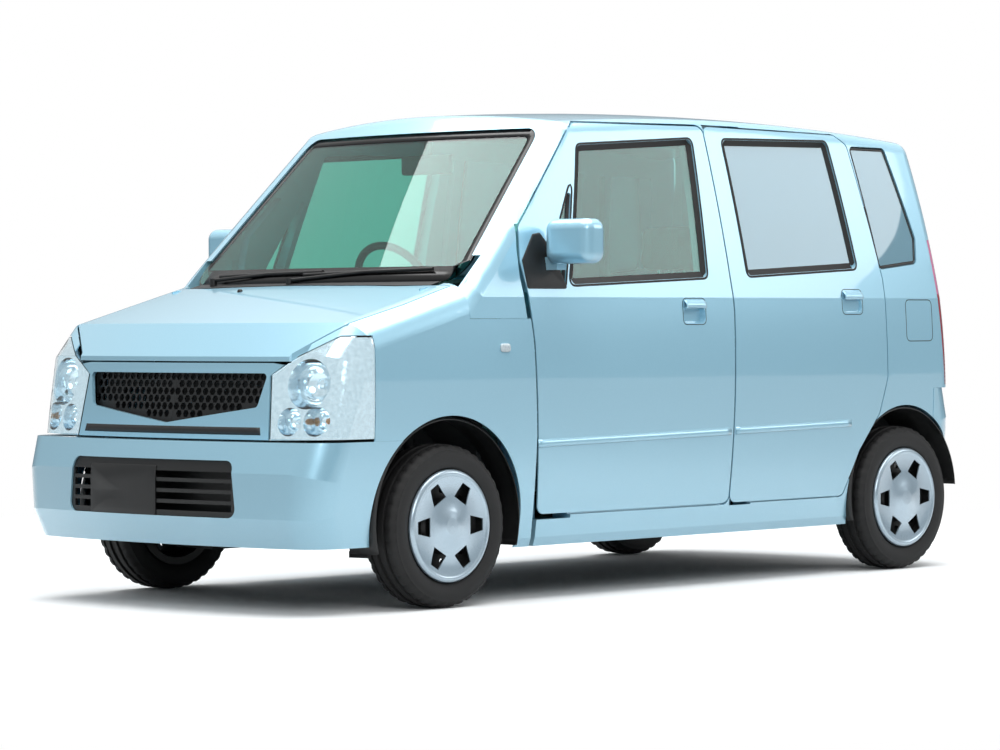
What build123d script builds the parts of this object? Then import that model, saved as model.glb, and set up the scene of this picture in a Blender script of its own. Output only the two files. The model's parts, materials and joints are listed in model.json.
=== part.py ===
"""Five-door kei-class tall hatchback, modelled as separate body panels, glass, cabin and running gear.

Lengths are in millimetres. X points to the car's left, Y to its rear and Z up, with the ground at Z = 0
under the middle of the car. The body follows two smooth outer forms: a cabin form, whose sides are turned
about far upright axes and whose roof is crowned both ways, and a nose form for fenders, hood and lamps.
Panels are cut from the layer between such a form and the same form set inward.
"""
import os
from math import atan, cos, degrees, radians, sin, tan

from build123d import *

os.makedirs("parts", exist_ok=True)

# Overall places
FRONT_END = -1697.5
REAR_END = 1697.5
FRONT_AXLE_Y = -1052.5
REAR_AXLE_Y = 1307.5
FRONT_HALF_TRACK = 648.0
REAR_HALF_TRACK = 645.0
FLOOR_Z = 200.0
FLOOR_THICK = 30.0
ROOF_Z = 1640.0

# Outer forms
HALF_WIDTH = 735.7
SIDE_BOW_R = 70000.0
SIDE_BOW_Y = -60.0
SIDE_SWEEP = 3.4
SILL_Z = 160.0
WAIST_Z = 985.0
WAIST_X = 727.0
ROOF_Y = 450.0
ROOF_LONG_R = 12000.0
ROOF_CROSS_R = 4300.0
BOW_Y = 1800.0
CABIN_EDGE_R = 60.0
NOSE_EDGE_R = 100.0
NOSE_LIP_R = 110.0
SCREEN_FOOT = (-1095.0, 949.0)
SCREEN_HEAD = (-370.0, 1690.0)
SCREEN_LEAN = 1.4
HOOD_LIP = (-1490.0, 905.0)
HOOD_SLOPE = 0.2727

# Layers
SKIN = 5.0
FRAME_BACK = 16.0
DOOR_THICK = 60.0
WALL = 80.0
ROOF_WALL = 40.0
GLASS_IN = 12.0
GLASS_THICK = 4.0
GLASS_LAP = 12.0
GLASS_CLEAR = 0.3
LAMP_DEPTH = 45.0
LAMP_CLEAR = 0.3
SHUT_GAP = 5.0
HINGE_GAP = 7.0
INNER_INSET = 30.0
ROOF_JOIN = 0.4
FRAME_INSET = 24.0

# Door outlines in side view, each as (y, z) from the lower front corner
FRONT_DOOR = [(-640, 280), (-668, 838), (-690, 1000), (-712, 1100), (-700, 1212), (-391, 1538),
              (-340, 1566), (298, 1576), (326, 1046), (333, 938), (318, 280)]
REAR_DOOR = [(325, 280), (340, 938), (333, 1046), (305, 1576), (1045, 1572), (1100, 1535), (1193, 1051),
             (1197, 700), (1150, 570), (1040, 440), (955, 280)]
DOOR_CORNER_R = 30.0
STRAIGHT_ANGLE = 168.0
FRONT_DOOR_GLASS = [(-488, 1026), (-358, 1490), (231, 1530), (206, 1055)]
FRONT_LIGHT = [(-618, 1022), (-512, 1026), (-412, 1382)]
REAR_DOOR_GLASS = [(426, 1061), (395, 1533), (984, 1545), (1048, 1092)]
QUARTER_GLASS = [(1184, 1087), (1112, 1535), (1327, 1535), (1431, 1203), (1415, 1110)]
WINDOW_R = 22.0
SCREEN_OPENING = [(-645, 1034), (645, 1034), (548, 1548), (-548, 1548)]
SCREEN_R = 60.0

# Door hinges
DOOR_SWING = 68.0
HINGE_IN = 17.0
HINGE_BACK = 75.0
HINGE_Z = (590.0, 830.0)
HINGE_PIN_R = 5.0
HINGE_KNUCKLE_R = 8.0
HINGE_KNUCKLE_H = 30.0
HINGE_LUG_H = 8.0
HINGE_LUG_R = 6.5
PIN_CLEAR = 0.3
FRONT_HINGE_Y = -655.0 + HINGE_BACK
FRONT_HINGE_SLOPE = 0.0
REAR_HINGE_Y = 335.0 + HINGE_BACK
DOOR_HINGES = [(FRONT_HINGE_Y, FRONT_HINGE_SLOPE), (REAR_HINGE_Y, 0.0)]
HINGE_X = HALF_WIDTH + 1.3 - HINGE_IN

# Wheel arches
ARCH_F_R = 335.0
ARCH_R_R = 322.0
ARCH_Z = 275.0

# Seats and clearances
SEAT_CLEAR = 0.3
LAMP_GAP = 3.0

# Tailgate
TAILGATE_LEAD_Y = 1400.0
TAILGATE_GAP = 11.0
TAILGATE_AXIS_Y = 1455.0
TAILGATE_AXIS_Z = 1576.0
TAILGATE_HINGE_X = (-220.0, 220.0)
TAILGATE = [(-606, 662), (606, 662), (612, 1000), (600, 1210), (546, 1535), (545, 1700),
            (-545, 1700), (-546, 1535), (-600, 1210), (-612, 1000)]
TAILGATE_GLASS = [(-540, 1085), (540, 1085), (478, 1500), (-478, 1500)]
TAILGATE_GLASS_R = 50.0
ROOF_HALF = 552.0
RAIL_X = 575.0

# Tail lamps in side view
TAIL_LAMP_SIDE = [(1552, 668), (1720, 668), (1720, 1200), (1500, 1200)]
TAIL_LAMP_INNER_X = 618.0

# Hood in plan, its lip and its hinge axis
HOOD = [(-505, -1530), (-480, -1700), (480, -1700), (505, -1530), (648, -1428), (658, -1200), (652, -985),
        (450, -1028), (200, -1043), (-200, -1043), (-450, -1028), (-652, -985), (-658, -1200), (-648, -1428)]
COWL = [(-578, -995), (-450, -1018), (-200, -1034), (200, -1034), (450, -1018), (578, -995), (578, -900), (-578, -900)]
HOOD_THICK = 16.0
HOOD_LIP_Z = 785.0
HOOD_AXIS_Y = -940.0
HOOD_AXIS_Z = 1010.0
HOOD_HINGE_X = 596.0

# Headlamps in front view and plan, and their reflector bowls as (x, y, z, radius)
HEADLAMP = [(462, 540), (735, 545), (735, 862), (650, 862), (500, 778), (440, 742)]
LAMP_PLAN = [(400, -1700), (800, -1700), (800, -1385), (690, -1385), (450, -1480), (400, -1480)]
LAMP_END_Y = -1385.0
BOWL_DEEP = 0.8
BOWL_FLAT = 0.35
REFLECTORS = [(585, -1500, 715, 78), (528, -1535, 598, 44), (628, -1505, 600, 46)]

# Bumpers in side view, grille and low intake in front view
BUMPER_WALL = 6.0
BUMPER_R = 130.0
BUMPER_BEND_R = 40.0
BUMPER_TOP_Z = 536.0
FRONT_BUMPER = [(-1660, 208), (FRONT_END, 300), (FRONT_END, 440), (-1670, BUMPER_TOP_Z)]
BUMPER_REAR_Z = 656.0
BUMPER_BACK_Y = 1480.0
REAR_BUMPER = [(1660, 240), (REAR_END, 332), (REAR_END, 560), (1670, BUMPER_REAR_Z)]
MOUTH_HALF = 400.0
MOUTH = [(-MOUTH_HALF, 300), (MOUTH_HALF, 300), (MOUTH_HALF - 20, 478), (20 - MOUTH_HALF, 478)]
MOUTH_R = 30.0
SLAT_GAPS_Z = (318.0, 352.0, 386.0, 420.0)
SLAT_GAP = 22.0
GRILLE_PANEL = [(-456, 541), (456, 541), (434, 740), (486, 774), (440, 780), (-440, 780), (-486, 774), (-434, 740)]
GRILLE_OPENING = [(-425, 748), (425, 748), (396, 642), (0, 590), (-396, 642)]
GRILLE_R = 14.0
GRILLE_DEEP = 12.0
MESH_THICK = 6.0
MESH_LAP = 10.0
MESH_SPAN = 434.0
MESH_SWEEP = 27.0
MESH_RAKE = 72.0
MESH_Y = -1578.0
MESH_Z = 640.0
MESH_TOP = 116.0
MESH_LOW = -58.0
CELL_ROWS = 7
CELL_COLUMNS = 14
CELL_PITCH_X = 31.0
CELL_PITCH_Z = 24.0
CELL_FIRST_X = 14.0
CELL_FIRST_Z = 18.0
CELL_HIGH = 26.0

# Floor and front structure
FIREWALL_Y = -800.0
RISER_Y = 880.0
TUNNEL_HALF = 65.0
TUNNEL_Z = 280.0
LOAD_Z = 400.0
LOAD_HALF = 588.0
LOAD_NARROW_Y = 960.0
TAIL_PANEL_Y = 1575.0
TAIL_HALF = 600.0
WHEELHOUSE_X = 470.0
STEER_ROOM_R = 300.0
STEER_ROOM_X = 425.0
WHEEL_CLEAR = 14.0
COWL_Z = 900.0
COWL_FRONT_Y = -985.0
RAIL_IN = 330.0
RAIL_OUT = 400.0
RAIL_Z = 330.0
RADIATOR_Y = -1510.0
ENGINE_Y = -1250.0
ENGINE_Z = 530.0
ENGINE_SIZE = (560.0, 430.0, 440.0)

# Running gear
WHEEL_R = 260.0
STEER_X = 583.0
STEER_LEAN = -0.19
BALL_Z = 178.0
STRUT_FOOT = 400.0
STRUT_TOP = 790.0
SPRING_R = 56.0
SPINDLE_R = 17.0
SPINDLE_OUT = 36.0
HUB_BORE_R = 17.3
TYRE_BEAD_R = 166.0
RIM_LIP_R = 176.0
COVER_R = 180.0
COVER_WINDOWS = 6
TRAIL_X = 440.0
TRAIL_Y = 830.0
EXHAUST_R = 20.0
EXHAUST_FRONT_Y = FRONT_AXLE_Y + 60.0

# Cabin
DASH_HALF = 580.0
DASH_Y = FIREWALL_Y + FLOOR_THICK + SEAT_CLEAR
WHEEL_X = -330.0
WHEEL_Y = -248.0
WHEEL_Z = 1009.0
COLUMN_TILT = 25.0
RIM_RING_R = 180.0
SEAT_X = 320.0
FRONT_SEAT_Y = -130.0
REAR_SEAT_Y = 640.0
MIRROR_X = 822.0
MIRROR_Y = -575.0
MIRROR_Z = 1165.0
SCREEN_RISE = (SCREEN_HEAD[1] - SCREEN_FOOT[1]) / (SCREEN_HEAD[0] - SCREEN_FOOT[0])
WIPER_LIFT = 1.3
WIPER_R = 6.0
WIPER_POST_R = 12.0
WIPERS = [((-470, -985, 1050), -480, 60, 1062, 1072), ((-60, -1015, 1046), -20, 520, 1062, 1076)]


def side_wall(inset):
    """Everything inboard of the car's left side face, set inward."""
    axis = Axis((HALF_WIDTH - SIDE_BOW_R, SIDE_BOW_Y, 0), (0, 0, 1))
    sill = (668 - inset, 100)
    rocker = (701 - inset, 205)
    waist = (WAIST_X - inset, WAIST_Z)
    head = (588 - inset, 1680)
    with BuildPart() as wall:
        with BuildSketch(Plane.XZ.offset(-SIDE_BOW_Y)):
            with BuildLine():
                Polyline((-1100, 100), sill, rocker)
                ThreePointArc(rocker, (HALF_WIDTH - inset, 600), waist)
                ThreePointArc(waist, (674 - inset, 1300), head)
                Polyline(head, (-1100, 1680), (-1100, 100))
            make_face()
        revolve(axis=axis, revolution_arc=SIDE_SWEEP)
    return wall.part.rotate(axis, -SIDE_SWEEP / 2)


def bowed(points, bow_y, arc=None):
    """A side-view profile turned half round an upright axis far behind or ahead of it."""
    axis = Axis((0, bow_y, 0), (0, 0, 1))
    with BuildPart() as form:
        with BuildSketch(Plane.YZ):
            with BuildLine():
                Polyline(points)
                if arc:
                    ThreePointArc(*arc)
                else:
                    Line(points[-1], points[0])
            make_face()
        revolve(axis=axis, revolution_arc=180)
    return form.part.rotate(axis, -90)


def cabin(inset, top):
    """The cabin form with its edges rounded, set inward at the sides and ends, and at the top."""
    wall = side_wall(inset)
    rail_z = ROOF_Z - top - 118
    axis = Axis((0, ROOF_Y, ROOF_Z - ROOF_LONG_R), (1, 0, 0))
    with BuildPart() as crown:
        with BuildSketch(Plane.XZ.offset(-ROOF_Y)):
            with BuildLine():
                RadiusArc((-1000, rail_z), (1000, rail_z), ROOF_CROSS_R)
                Polyline((1000, rail_z), (1000, 100), (-1000, 100), (-1000, rail_z))
            make_face()
        revolve(axis=axis, revolution_arc=16)
    roof_form = crown.part.rotate(axis, -8)
    lean = inset * SCREEN_LEAN
    foot_y = SCREEN_FOOT[0] + lean
    front = bowed([(foot_y, 100), (foot_y, SCREEN_FOOT[1]), (SCREEN_HEAD[0] + lean, SCREEN_HEAD[1]),
                   (BOW_Y, SCREEN_HEAD[1]), (BOW_Y, 100)], BOW_Y)
    tail = (1505 - inset, 1690)
    rump = (1662 - inset, 600)
    rear = bowed([rump, (1655 - inset, 100), (-BOW_Y, 100), (-BOW_Y, 1690), tail], -BOW_Y,
                 (tail, (1628 - inset, 1060), rump))
    body = (wall & wall.mirror(Plane.YZ) & front & rear & roof_form).solids()[0]
    edges = [e for e in body.edges()
             if e.length > 60 and abs(e.center().Z - WAIST_Z) > 3
             and (e.center().Z > 1500 or abs(e.center().X) > 400 and e.center().Z > 960
                  or e.center().Y > 1400 and abs(e.tangent_at(0.5).Z) > 0.5)]
    return body.fillet(max(CABIN_EDGE_R - inset, 12), edges)


def nose(inset):
    """The nose form: fender sides, lamp faces, hood lip and hood, with its edges rounded."""
    wall = side_wall(inset)
    back_y = -500.0
    lip_y = HOOD_LIP[0] + 0.6 * inset
    lip_z = HOOD_LIP[1] - inset
    brow = (-1576 + inset, 800)
    axis = Axis((0, BOW_Y, 0), (0, 0, 1))
    with BuildPart() as form:
        with BuildSketch(Plane.YZ) as profile:
            with BuildLine():
                Polyline((-1598 + inset, SILL_Z), (-1618 + inset, 545), brow, (lip_y, lip_z),
                         (back_y, lip_z + HOOD_SLOPE * (back_y - lip_y)), (back_y, SILL_Z), close=True)
            make_face()
            bends = [v for v in profile.vertices() if brow[0] - 1 < v.X < lip_y + 1 and v.Z > 700]
            fillet(bends, NOSE_LIP_R - inset)
        revolve(axis=axis, revolution_arc=180)
    front = form.part.rotate(axis, -90)
    with BuildPart() as reach:
        with BuildSketch(Plane.XY.offset(SILL_Z)):
            with Locations((0, back_y - 600)):
                Rectangle(1700, 1200)
        extrude(amount=1200)
    body = (wall & wall.mirror(Plane.YZ) & front & reach.part).solids()[0]
    edges = [e for e in body.edges()
             if e.center().Y < back_y - 50 and abs(e.center().X) > 400 and e.length > 30
             and e.center().Z > 230]
    return body.fillet(NOSE_EDGE_R - inset, edges)


def sharp_corners(outline):
    """The corners of a straight-edged sketch that turn enough to be rounded."""
    corners = []
    for vertex in outline.vertices():
        here = Vector(vertex)
        ways = []
        for edge in outline.edges():
            for near, far in ((0, 1), (1, 0)):
                if (edge @ near - here).length < 0.01:
                    ways.append(edge @ far - here)
        if ways[0].get_angle(ways[1]) < STRAIGHT_ANGLE:
            corners.append(vertex)
    return corners


def side_prism(points, radius=0.0, x_from=300.0, x_to=900.0, grow=0.0):
    """A side-view outline carried across the car's left side, grown evenly before its corners are rounded."""
    with BuildPart() as prism:
        with BuildSketch(Plane.YZ.offset(x_from)) as outline:
            with BuildLine():
                Polyline(points, close=True)
            make_face()
            if grow:
                offset(amount=grow, kind=Kind.INTERSECTION, mode=Mode.REPLACE)
            if radius:
                fillet(sharp_corners(outline), radius + grow)
        extrude(amount=x_to - x_from)
    return prism.part


def front_prism(points, y_from, y_to, radius=0.0):
    """A front-view outline carried along the car."""
    with BuildPart() as prism:
        with BuildSketch(Plane.XZ.offset(-y_from)) as outline:
            with BuildLine():
                Polyline(points, close=True)
            make_face()
            if radius:
                fillet(outline.vertices(), radius)
        extrude(amount=y_from - y_to)
    return prism.part


def front_prism_inset(points, y_from, y_to, radius, inset):
    """The same front-view outline, grown or shrunk evenly."""
    with BuildPart() as prism:
        with BuildSketch(Plane.XZ.offset(-y_from)) as outline:
            with BuildLine():
                Polyline(points, close=True)
            make_face()
            if radius:
                fillet(outline.vertices(), radius)
            offset(amount=-inset, kind=Kind.INTERSECTION, mode=Mode.REPLACE)
        extrude(amount=y_from - y_to)
    return prism.part


def top_prism(points, z_from, z_to, grow=0.0):
    """A plan outline carried upward, grown evenly if asked."""
    with BuildPart() as prism:
        with BuildSketch(Plane.XY.offset(z_from)):
            with BuildLine():
                Polyline(points, close=True)
            make_face()
            if grow:
                offset(amount=grow, kind=Kind.INTERSECTION, mode=Mode.REPLACE)
        extrude(amount=z_to - z_from)
    return prism.part


def block(x_from, x_to, y_from, y_to, z_from, z_to):
    """A plain block between two corners."""
    with BuildPart() as solid:
        with Locations(((x_from + x_to) / 2, (y_from + y_to) / 2, (z_from + z_to) / 2)):
            Box(abs(x_to - x_from), abs(y_to - y_from), abs(z_to - z_from))
    return solid.part


def bumper_form(inset, profile, bow_y, back_y):
    """A bumper: its side-view profile bowed across the car between the side faces, with round corners."""
    wall = side_wall(inset - 1.5)
    toward = 1 if bow_y > 0 else -1
    axis = Axis((0, bow_y, 0), (0, 0, 1))
    low, shin, brow, top = [(y + toward * inset, z) for y, z in profile]
    low = (low[0], low[1] + inset)
    top = (top[0], top[1] - inset)
    with BuildPart() as form:
        with BuildSketch(Plane.YZ) as outline:
            with BuildLine():
                Polyline((back_y, low[1]), low, shin, brow, top, (back_y, top[1]), close=True)
            make_face()
            bends = [v for v in outline.vertices()
                     if (v.Y - back_y) * toward < -100 and low[1] + 1 < v.Z < top[1] - 1]
            fillet(bends, BUMPER_BEND_R)
        revolve(axis=axis, revolution_arc=180)
    front = form.part.rotate(axis, -90)
    room = block(-900, 900, back_y, back_y - toward * 900, 0, 900)
    body = (wall & wall.mirror(Plane.YZ) & front & room).solids()[0]
    corners = [e for e in body.edges()
               if abs(e.center().X) > 500 and e.length > 8 and (e.center().Y - back_y) * toward < -60
               and low[1] + 2 < e.center().Z < top[1] - 2 and abs(e.tangent_at(0.5).Z) > 0.3]
    return body.fillet(BUMPER_R - inset, corners)


def bar_x(y, z, radius, x_from, x_to):
    """A round bar across the car."""
    with BuildPart() as solid:
        with BuildSketch(Plane.YZ.offset(x_from)):
            with Locations((y, z)):
                Circle(radius)
        extrude(amount=x_to - x_from)
    return solid.part


def lamp_bowl(x, y, z, radius):
    """A round reflector bowl that opens forward, as the room it takes."""
    with BuildPart() as bowl:
        with BuildSketch(Plane.XY.offset(z)):
            with BuildLine():
                Polyline((x + radius, y), (x + radius, FRONT_END), (x, FRONT_END), (x, y + BOWL_DEEP * radius),
                         (x + BOWL_FLAT * radius, y + BOWL_DEEP * radius))
                ThreePointArc((x + BOWL_FLAT * radius, y + BOWL_DEEP * radius),
                              (x + 0.8 * radius, y + 0.5 * radius), (x + radius, y))
            make_face()
        revolve(axis=Axis((x, y, z), (0, 1, 0)))
    return bowl.part


def bar_z(x, y, radius, z_from, z_to):
    """An upright round bar."""
    with BuildPart() as solid:
        with BuildSketch(Plane.XY.offset(z_from)):
            with Locations((x, y)):
                Circle(radius)
        extrude(amount=z_to - z_from)
    return solid.part


def mirrored(shape):
    """The same shape on the car's right side."""
    return shape.mirror(Plane.YZ)


def export(builder, name):
    """Label a finished piece and write it out."""
    builder.part.label = name
    export_step(builder.part, f"parts/{name}.step")


# Outer forms, each made once
CABIN = cabin(0, 0)
CABIN_SKIN = cabin(SKIN, SKIN)
CABIN_GLASS_OUT = cabin(GLASS_IN, GLASS_IN)
CABIN_FRAME = cabin(FRAME_BACK, FRAME_BACK)
CABIN_LAMP = cabin(LAMP_DEPTH, ROOF_WALL)
CABIN_DOOR = cabin(DOOR_THICK, ROOF_WALL)
CABIN_INNER = cabin(WALL, ROOF_WALL)
NOSE = nose(0)
NOSE_SKIN = nose(SKIN)
NOSE_CLEAR = nose(-ROOF_JOIN)
NOSE_LAMP = nose(SKIN + LAMP_CLEAR)
NOSE_GRILLE = nose(GRILLE_DEEP)
NOSE_HOOD = nose(HOOD_THICK)
CABIN_FIT = cabin(WALL + SEAT_CLEAR, ROOF_WALL + SEAT_CLEAR)
CABIN_CLEAR = cabin(-ROOF_JOIN, -ROOF_JOIN)
LEFT_HALF = block(0.2, 900, -1800, 1800, 50, 1800)

front_door_zone = side_prism(FRONT_DOOR, DOOR_CORNER_R)
rear_door_zone = side_prism(REAR_DOOR, DOOR_CORNER_R)
front_door_gap = side_prism(FRONT_DOOR, DOOR_CORNER_R, RAIL_X, grow=HINGE_GAP)
rear_door_gap = side_prism(REAR_DOOR, DOOR_CORNER_R, RAIL_X, grow=SHUT_GAP)
front_door_frame = side_prism(FRONT_DOOR, grow=-FRAME_INSET)
rear_door_frame = side_prism(REAR_DOOR, grow=-FRAME_INSET)
front_door_box = side_prism(FRONT_DOOR, grow=-INNER_INSET)
rear_door_box = side_prism(REAR_DOOR, grow=-INNER_INSET)
front_window = side_prism(FRONT_DOOR_GLASS, WINDOW_R)
front_light = side_prism(FRONT_LIGHT, 8)
rear_window = side_prism(REAR_DOOR_GLASS, WINDOW_R)
quarter_window = side_prism(QUARTER_GLASS, WINDOW_R)
screen_opening = front_prism(SCREEN_OPENING, -1100, -200, SCREEN_R)
tailgate_zone = front_prism(TAILGATE, TAILGATE_LEAD_Y, 1800)
front_arch = bar_x(FRONT_AXLE_Y, ARCH_Z, ARCH_F_R, 300, 900)
rear_arch = bar_x(REAR_AXLE_Y, ARCH_Z, ARCH_R_R, 420, 900)
lamp_zone = side_prism(TAIL_LAMP_SIDE, 0, TAIL_LAMP_INNER_X)

# Body side with sill, pillars, roof rail and rear quarter
FRONT_PILLAR_Y = -640.0
FENDER_TOP_Z = 915.0
PILLAR_FOOT_Z = FENDER_TOP_Z + 1.0
FENDER_END_Y = -965.0
PILLAR_X = 590.0
PILLAR_OUT_X = 628.0
FRONT_PILLAR_X = 608.0
with BuildPart() as body_side_left:
    add(CABIN)
    add(CABIN_INNER, mode=Mode.SUBTRACT)
    add(LEFT_HALF, mode=Mode.INTERSECT)
    add(front_door_gap - CABIN_FRAME, mode=Mode.SUBTRACT)
    add(rear_door_gap - CABIN_FRAME, mode=Mode.SUBTRACT)
    add(front_door_frame, mode=Mode.SUBTRACT)
    add(rear_door_frame, mode=Mode.SUBTRACT)
    add(side_prism([(325, 270), (325, 1046), (306, 1545), (306, 1583), (508, 1583), (508, 1540), (440, 1530),
                    (440, 270)]),
        mode=Mode.SUBTRACT)
    add(side_prism([(-660, 262), (-700, 900), (-722, 1050), (-722, 1140), (-712, 1222), (-700, 1222), (-590, 1338),
                    (-540, 1338), (-480, 262)]),
        mode=Mode.SUBTRACT)
    add(block(0, 900, -1800, FRONT_PILLAR_Y, 0, PILLAR_FOOT_Z), mode=Mode.SUBTRACT)
    add(block(0, 900, -1800, FENDER_END_Y + 2, 0, 1400), mode=Mode.SUBTRACT)
    add(block(-10, PILLAR_X, -1200, 1800, 0, 1300), mode=Mode.SUBTRACT)
    add(block(-10, ROOF_HALF, -1200, 1800, 1460, 1700), mode=Mode.SUBTRACT)
    add(block(0, 900, -1200, 1800, 0, SILL_Z + 16), mode=Mode.SUBTRACT)
    add(screen_opening, mode=Mode.SUBTRACT)
    add(block(-900, 660, -1100, -726, 900, 1120), mode=Mode.SUBTRACT)
    add(front_prism([(0, 50), (611, 50), (617, 1000), (605, 1212), (551, 1540), (550, 1750), (0, 1750)],
                    TAILGATE_LEAD_Y - TAILGATE_GAP, 1800), mode=Mode.SUBTRACT)
    add(quarter_window, mode=Mode.SUBTRACT)
    add(block(0, 900, BUMPER_BACK_Y, 1800, 0, BUMPER_REAR_Z + SEAT_CLEAR), mode=Mode.SUBTRACT)
    add(rear_arch, mode=Mode.SUBTRACT)
    add(lamp_zone - CABIN_DOOR, mode=Mode.SUBTRACT)
    # Inner hinge pillars, with lugs and pins for the doors
    add(block(PILLAR_X, FRONT_PILLAR_X, -700, -545, FLOOR_Z, 1000))
    add(block(PILLAR_X, PILLAR_OUT_X, -700, -545, FLOOR_Z, 255))
    add(block(PILLAR_X, PILLAR_OUT_X, 268, 430, FLOOR_Z, 1000))
    add(block(PILLAR_OUT_X - 20, 680, 311, 322, FLOOR_Z, 1000))
    for hinge_y, slope in DOOR_HINGES:
        for z in HINGE_Z:
            y = hinge_y + slope * (z - 600)
            half = HINGE_KNUCKLE_H / 2 + PIN_CLEAR
            add(bar_z(HINGE_X, y, HINGE_PIN_R, z - half - HINGE_LUG_H, z + half + HINGE_LUG_H))
            for z_from in (z - half - HINGE_LUG_H, z + half):
                add(bar_z(HINGE_X, y, HINGE_LUG_R, z_from, z_from + HINGE_LUG_H))
                add(block(FRONT_PILLAR_X - 5, HINGE_X, y - HINGE_LUG_R, y + HINGE_LUG_R,
                          z_from, z_from + HINGE_LUG_H))
export(body_side_left, "body_side_left")

with BuildPart() as body_side_right:
    add(mirrored(body_side_left.part))
export(body_side_right, "body_side_right")

# Doors: a thin outer skin with an inner box behind it, and openings for the glass
FRONT_FREE = side_prism([(-900, 200), (-900, 1000), (FRONT_HINGE_Y + 18, 1000), (FRONT_HINGE_Y + 18, 200)])
REAR_FREE = side_prism([(200, 200), (200, 1700), (REAR_HINGE_Y + 18, 1700), (REAR_HINGE_Y + 18, 200)])
HANDLE_SIZE = (104.0, 40.0)
HANDLE_DEPTH = 24.0
FRONT_HANDLE = (123.0, 925.0)
REAR_HANDLE = (1000.0, 958.0)


def handle_cup(place):
    """The finger recess below a door handle's flap."""
    with BuildPart() as cup:
        with BuildSketch(Plane.YZ.offset(HALF_WIDTH - HANDLE_DEPTH)):
            with Locations(place):
                RectangleRounded(HANDLE_SIZE[0], HANDLE_SIZE[1], 18)
        extrude(amount=100, taper=-20)
    return cup.part


def door_form(zone, box_zone, free, windows, hinge_y, slope, handle):
    """One left-hand door with its hinge knuckles."""
    with BuildPart() as door:
        add((CABIN_SKIN & box_zone) - CABIN_DOOR)
        add(free, mode=Mode.SUBTRACT)
        add((CABIN & zone) - CABIN_SKIN)
        for window in windows:
            add(window, mode=Mode.SUBTRACT)
        add(handle_cup(handle), mode=Mode.SUBTRACT)
        for z in HINGE_Z:
            y = hinge_y + slope * (z - 600)
            add(bar_z(HINGE_X, y, HINGE_KNUCKLE_R, z - HINGE_KNUCKLE_H / 2, z + HINGE_KNUCKLE_H / 2))
            add(block(HINGE_X - HINGE_KNUCKLE_R, HINGE_X, y, y + 60,
                      z - HINGE_KNUCKLE_H / 2, z + HINGE_KNUCKLE_H / 2))
            add(bar_z(HINGE_X, y, HINGE_PIN_R + PIN_CLEAR, z - 60, z + 60), mode=Mode.SUBTRACT)
    return door.part


front_left_form = door_form(front_door_zone, front_door_box, FRONT_FREE, (front_window, front_light),
                            FRONT_HINGE_Y, FRONT_HINGE_SLOPE, FRONT_HANDLE)
rear_left_form = door_form(rear_door_zone, rear_door_box, REAR_FREE, (rear_window,), REAR_HINGE_Y, 0.0,
                           REAR_HANDLE)
with BuildPart() as front_door_left:
    add(front_left_form)
export(front_door_left, "front_door_left")
with BuildPart() as front_door_right:
    add(mirrored(front_left_form))
export(front_door_right, "front_door_right")
with BuildPart() as rear_door_left:
    add(rear_left_form)
export(rear_door_left, "rear_door_left")
with BuildPart() as rear_door_right:
    add(mirrored(rear_left_form))
export(rear_door_right, "rear_door_right")

# Door glass, seated in the openings
door_glass_layer = CABIN_GLASS_OUT - CABIN_FRAME
front_panes = door_glass_layer & (side_prism(FRONT_DOOR_GLASS, WINDOW_R, grow=-GLASS_CLEAR)
                                  + side_prism(FRONT_LIGHT, 8, grow=-GLASS_CLEAR))
rear_panes = door_glass_layer & side_prism(REAR_DOOR_GLASS, WINDOW_R, grow=-GLASS_CLEAR)
with BuildPart() as front_glass_left:
    add(front_panes)
export(front_glass_left, "front_glass_left")
with BuildPart() as front_glass_right:
    add(mirrored(front_panes))
export(front_glass_right, "front_glass_right")
with BuildPart() as rear_glass_left:
    add(rear_panes)
export(rear_glass_left, "rear_glass_left")
with BuildPart() as rear_glass_right:
    add(mirrored(rear_panes))
export(rear_glass_right, "rear_glass_right")

# Roof, with the head of the windscreen
roof_end = TAILGATE_LEAD_Y - TAILGATE_GAP
with BuildPart() as roof:
    add(CABIN & block(-ROOF_HALF + ROOF_JOIN, ROOF_HALF - ROOF_JOIN, -700, TAILGATE_LEAD_Y - TAILGATE_GAP,
                      1460, 1700))
    add(CABIN_INNER, mode=Mode.SUBTRACT)
    add(screen_opening, mode=Mode.SUBTRACT)
    # Lugs and pins that carry the tailgate
    for x in TAILGATE_HINGE_X:
        for side in (-1, 1):
            x_lug = x + side * (HINGE_KNUCKLE_H / 2 + PIN_CLEAR + HINGE_LUG_H / 2)
            add(bar_x(TAILGATE_AXIS_Y, TAILGATE_AXIS_Z, HINGE_KNUCKLE_R, x_lug - HINGE_LUG_H / 2,
                      x_lug + HINGE_LUG_H / 2))
            add(side_prism([(roof_end - 20, 1580), (roof_end, 1580), (roof_end, TAILGATE_AXIS_Z - 68),
                            (TAILGATE_AXIS_Y - 9, TAILGATE_AXIS_Z - 74), (TAILGATE_AXIS_Y - 7, TAILGATE_AXIS_Z),
                            (TAILGATE_AXIS_Y + 7, TAILGATE_AXIS_Z), (TAILGATE_AXIS_Y + 8, TAILGATE_AXIS_Z - 90),
                            (roof_end - 20, TAILGATE_AXIS_Z - 90)], 0, x_lug - HINGE_LUG_H / 2,
                           x_lug + HINGE_LUG_H / 2))
        add(bar_x(TAILGATE_AXIS_Y, TAILGATE_AXIS_Z, HINGE_PIN_R, x - 20, x + 20))
export(roof, "roof")

# Fixed glass
with BuildPart() as windscreen:
    add(CABIN_SKIN & front_prism_inset(SCREEN_OPENING, -1100, -200, SCREEN_R, GLASS_CLEAR))
    add(CABIN_GLASS_OUT, mode=Mode.SUBTRACT)
export(windscreen, "windscreen")

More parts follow.
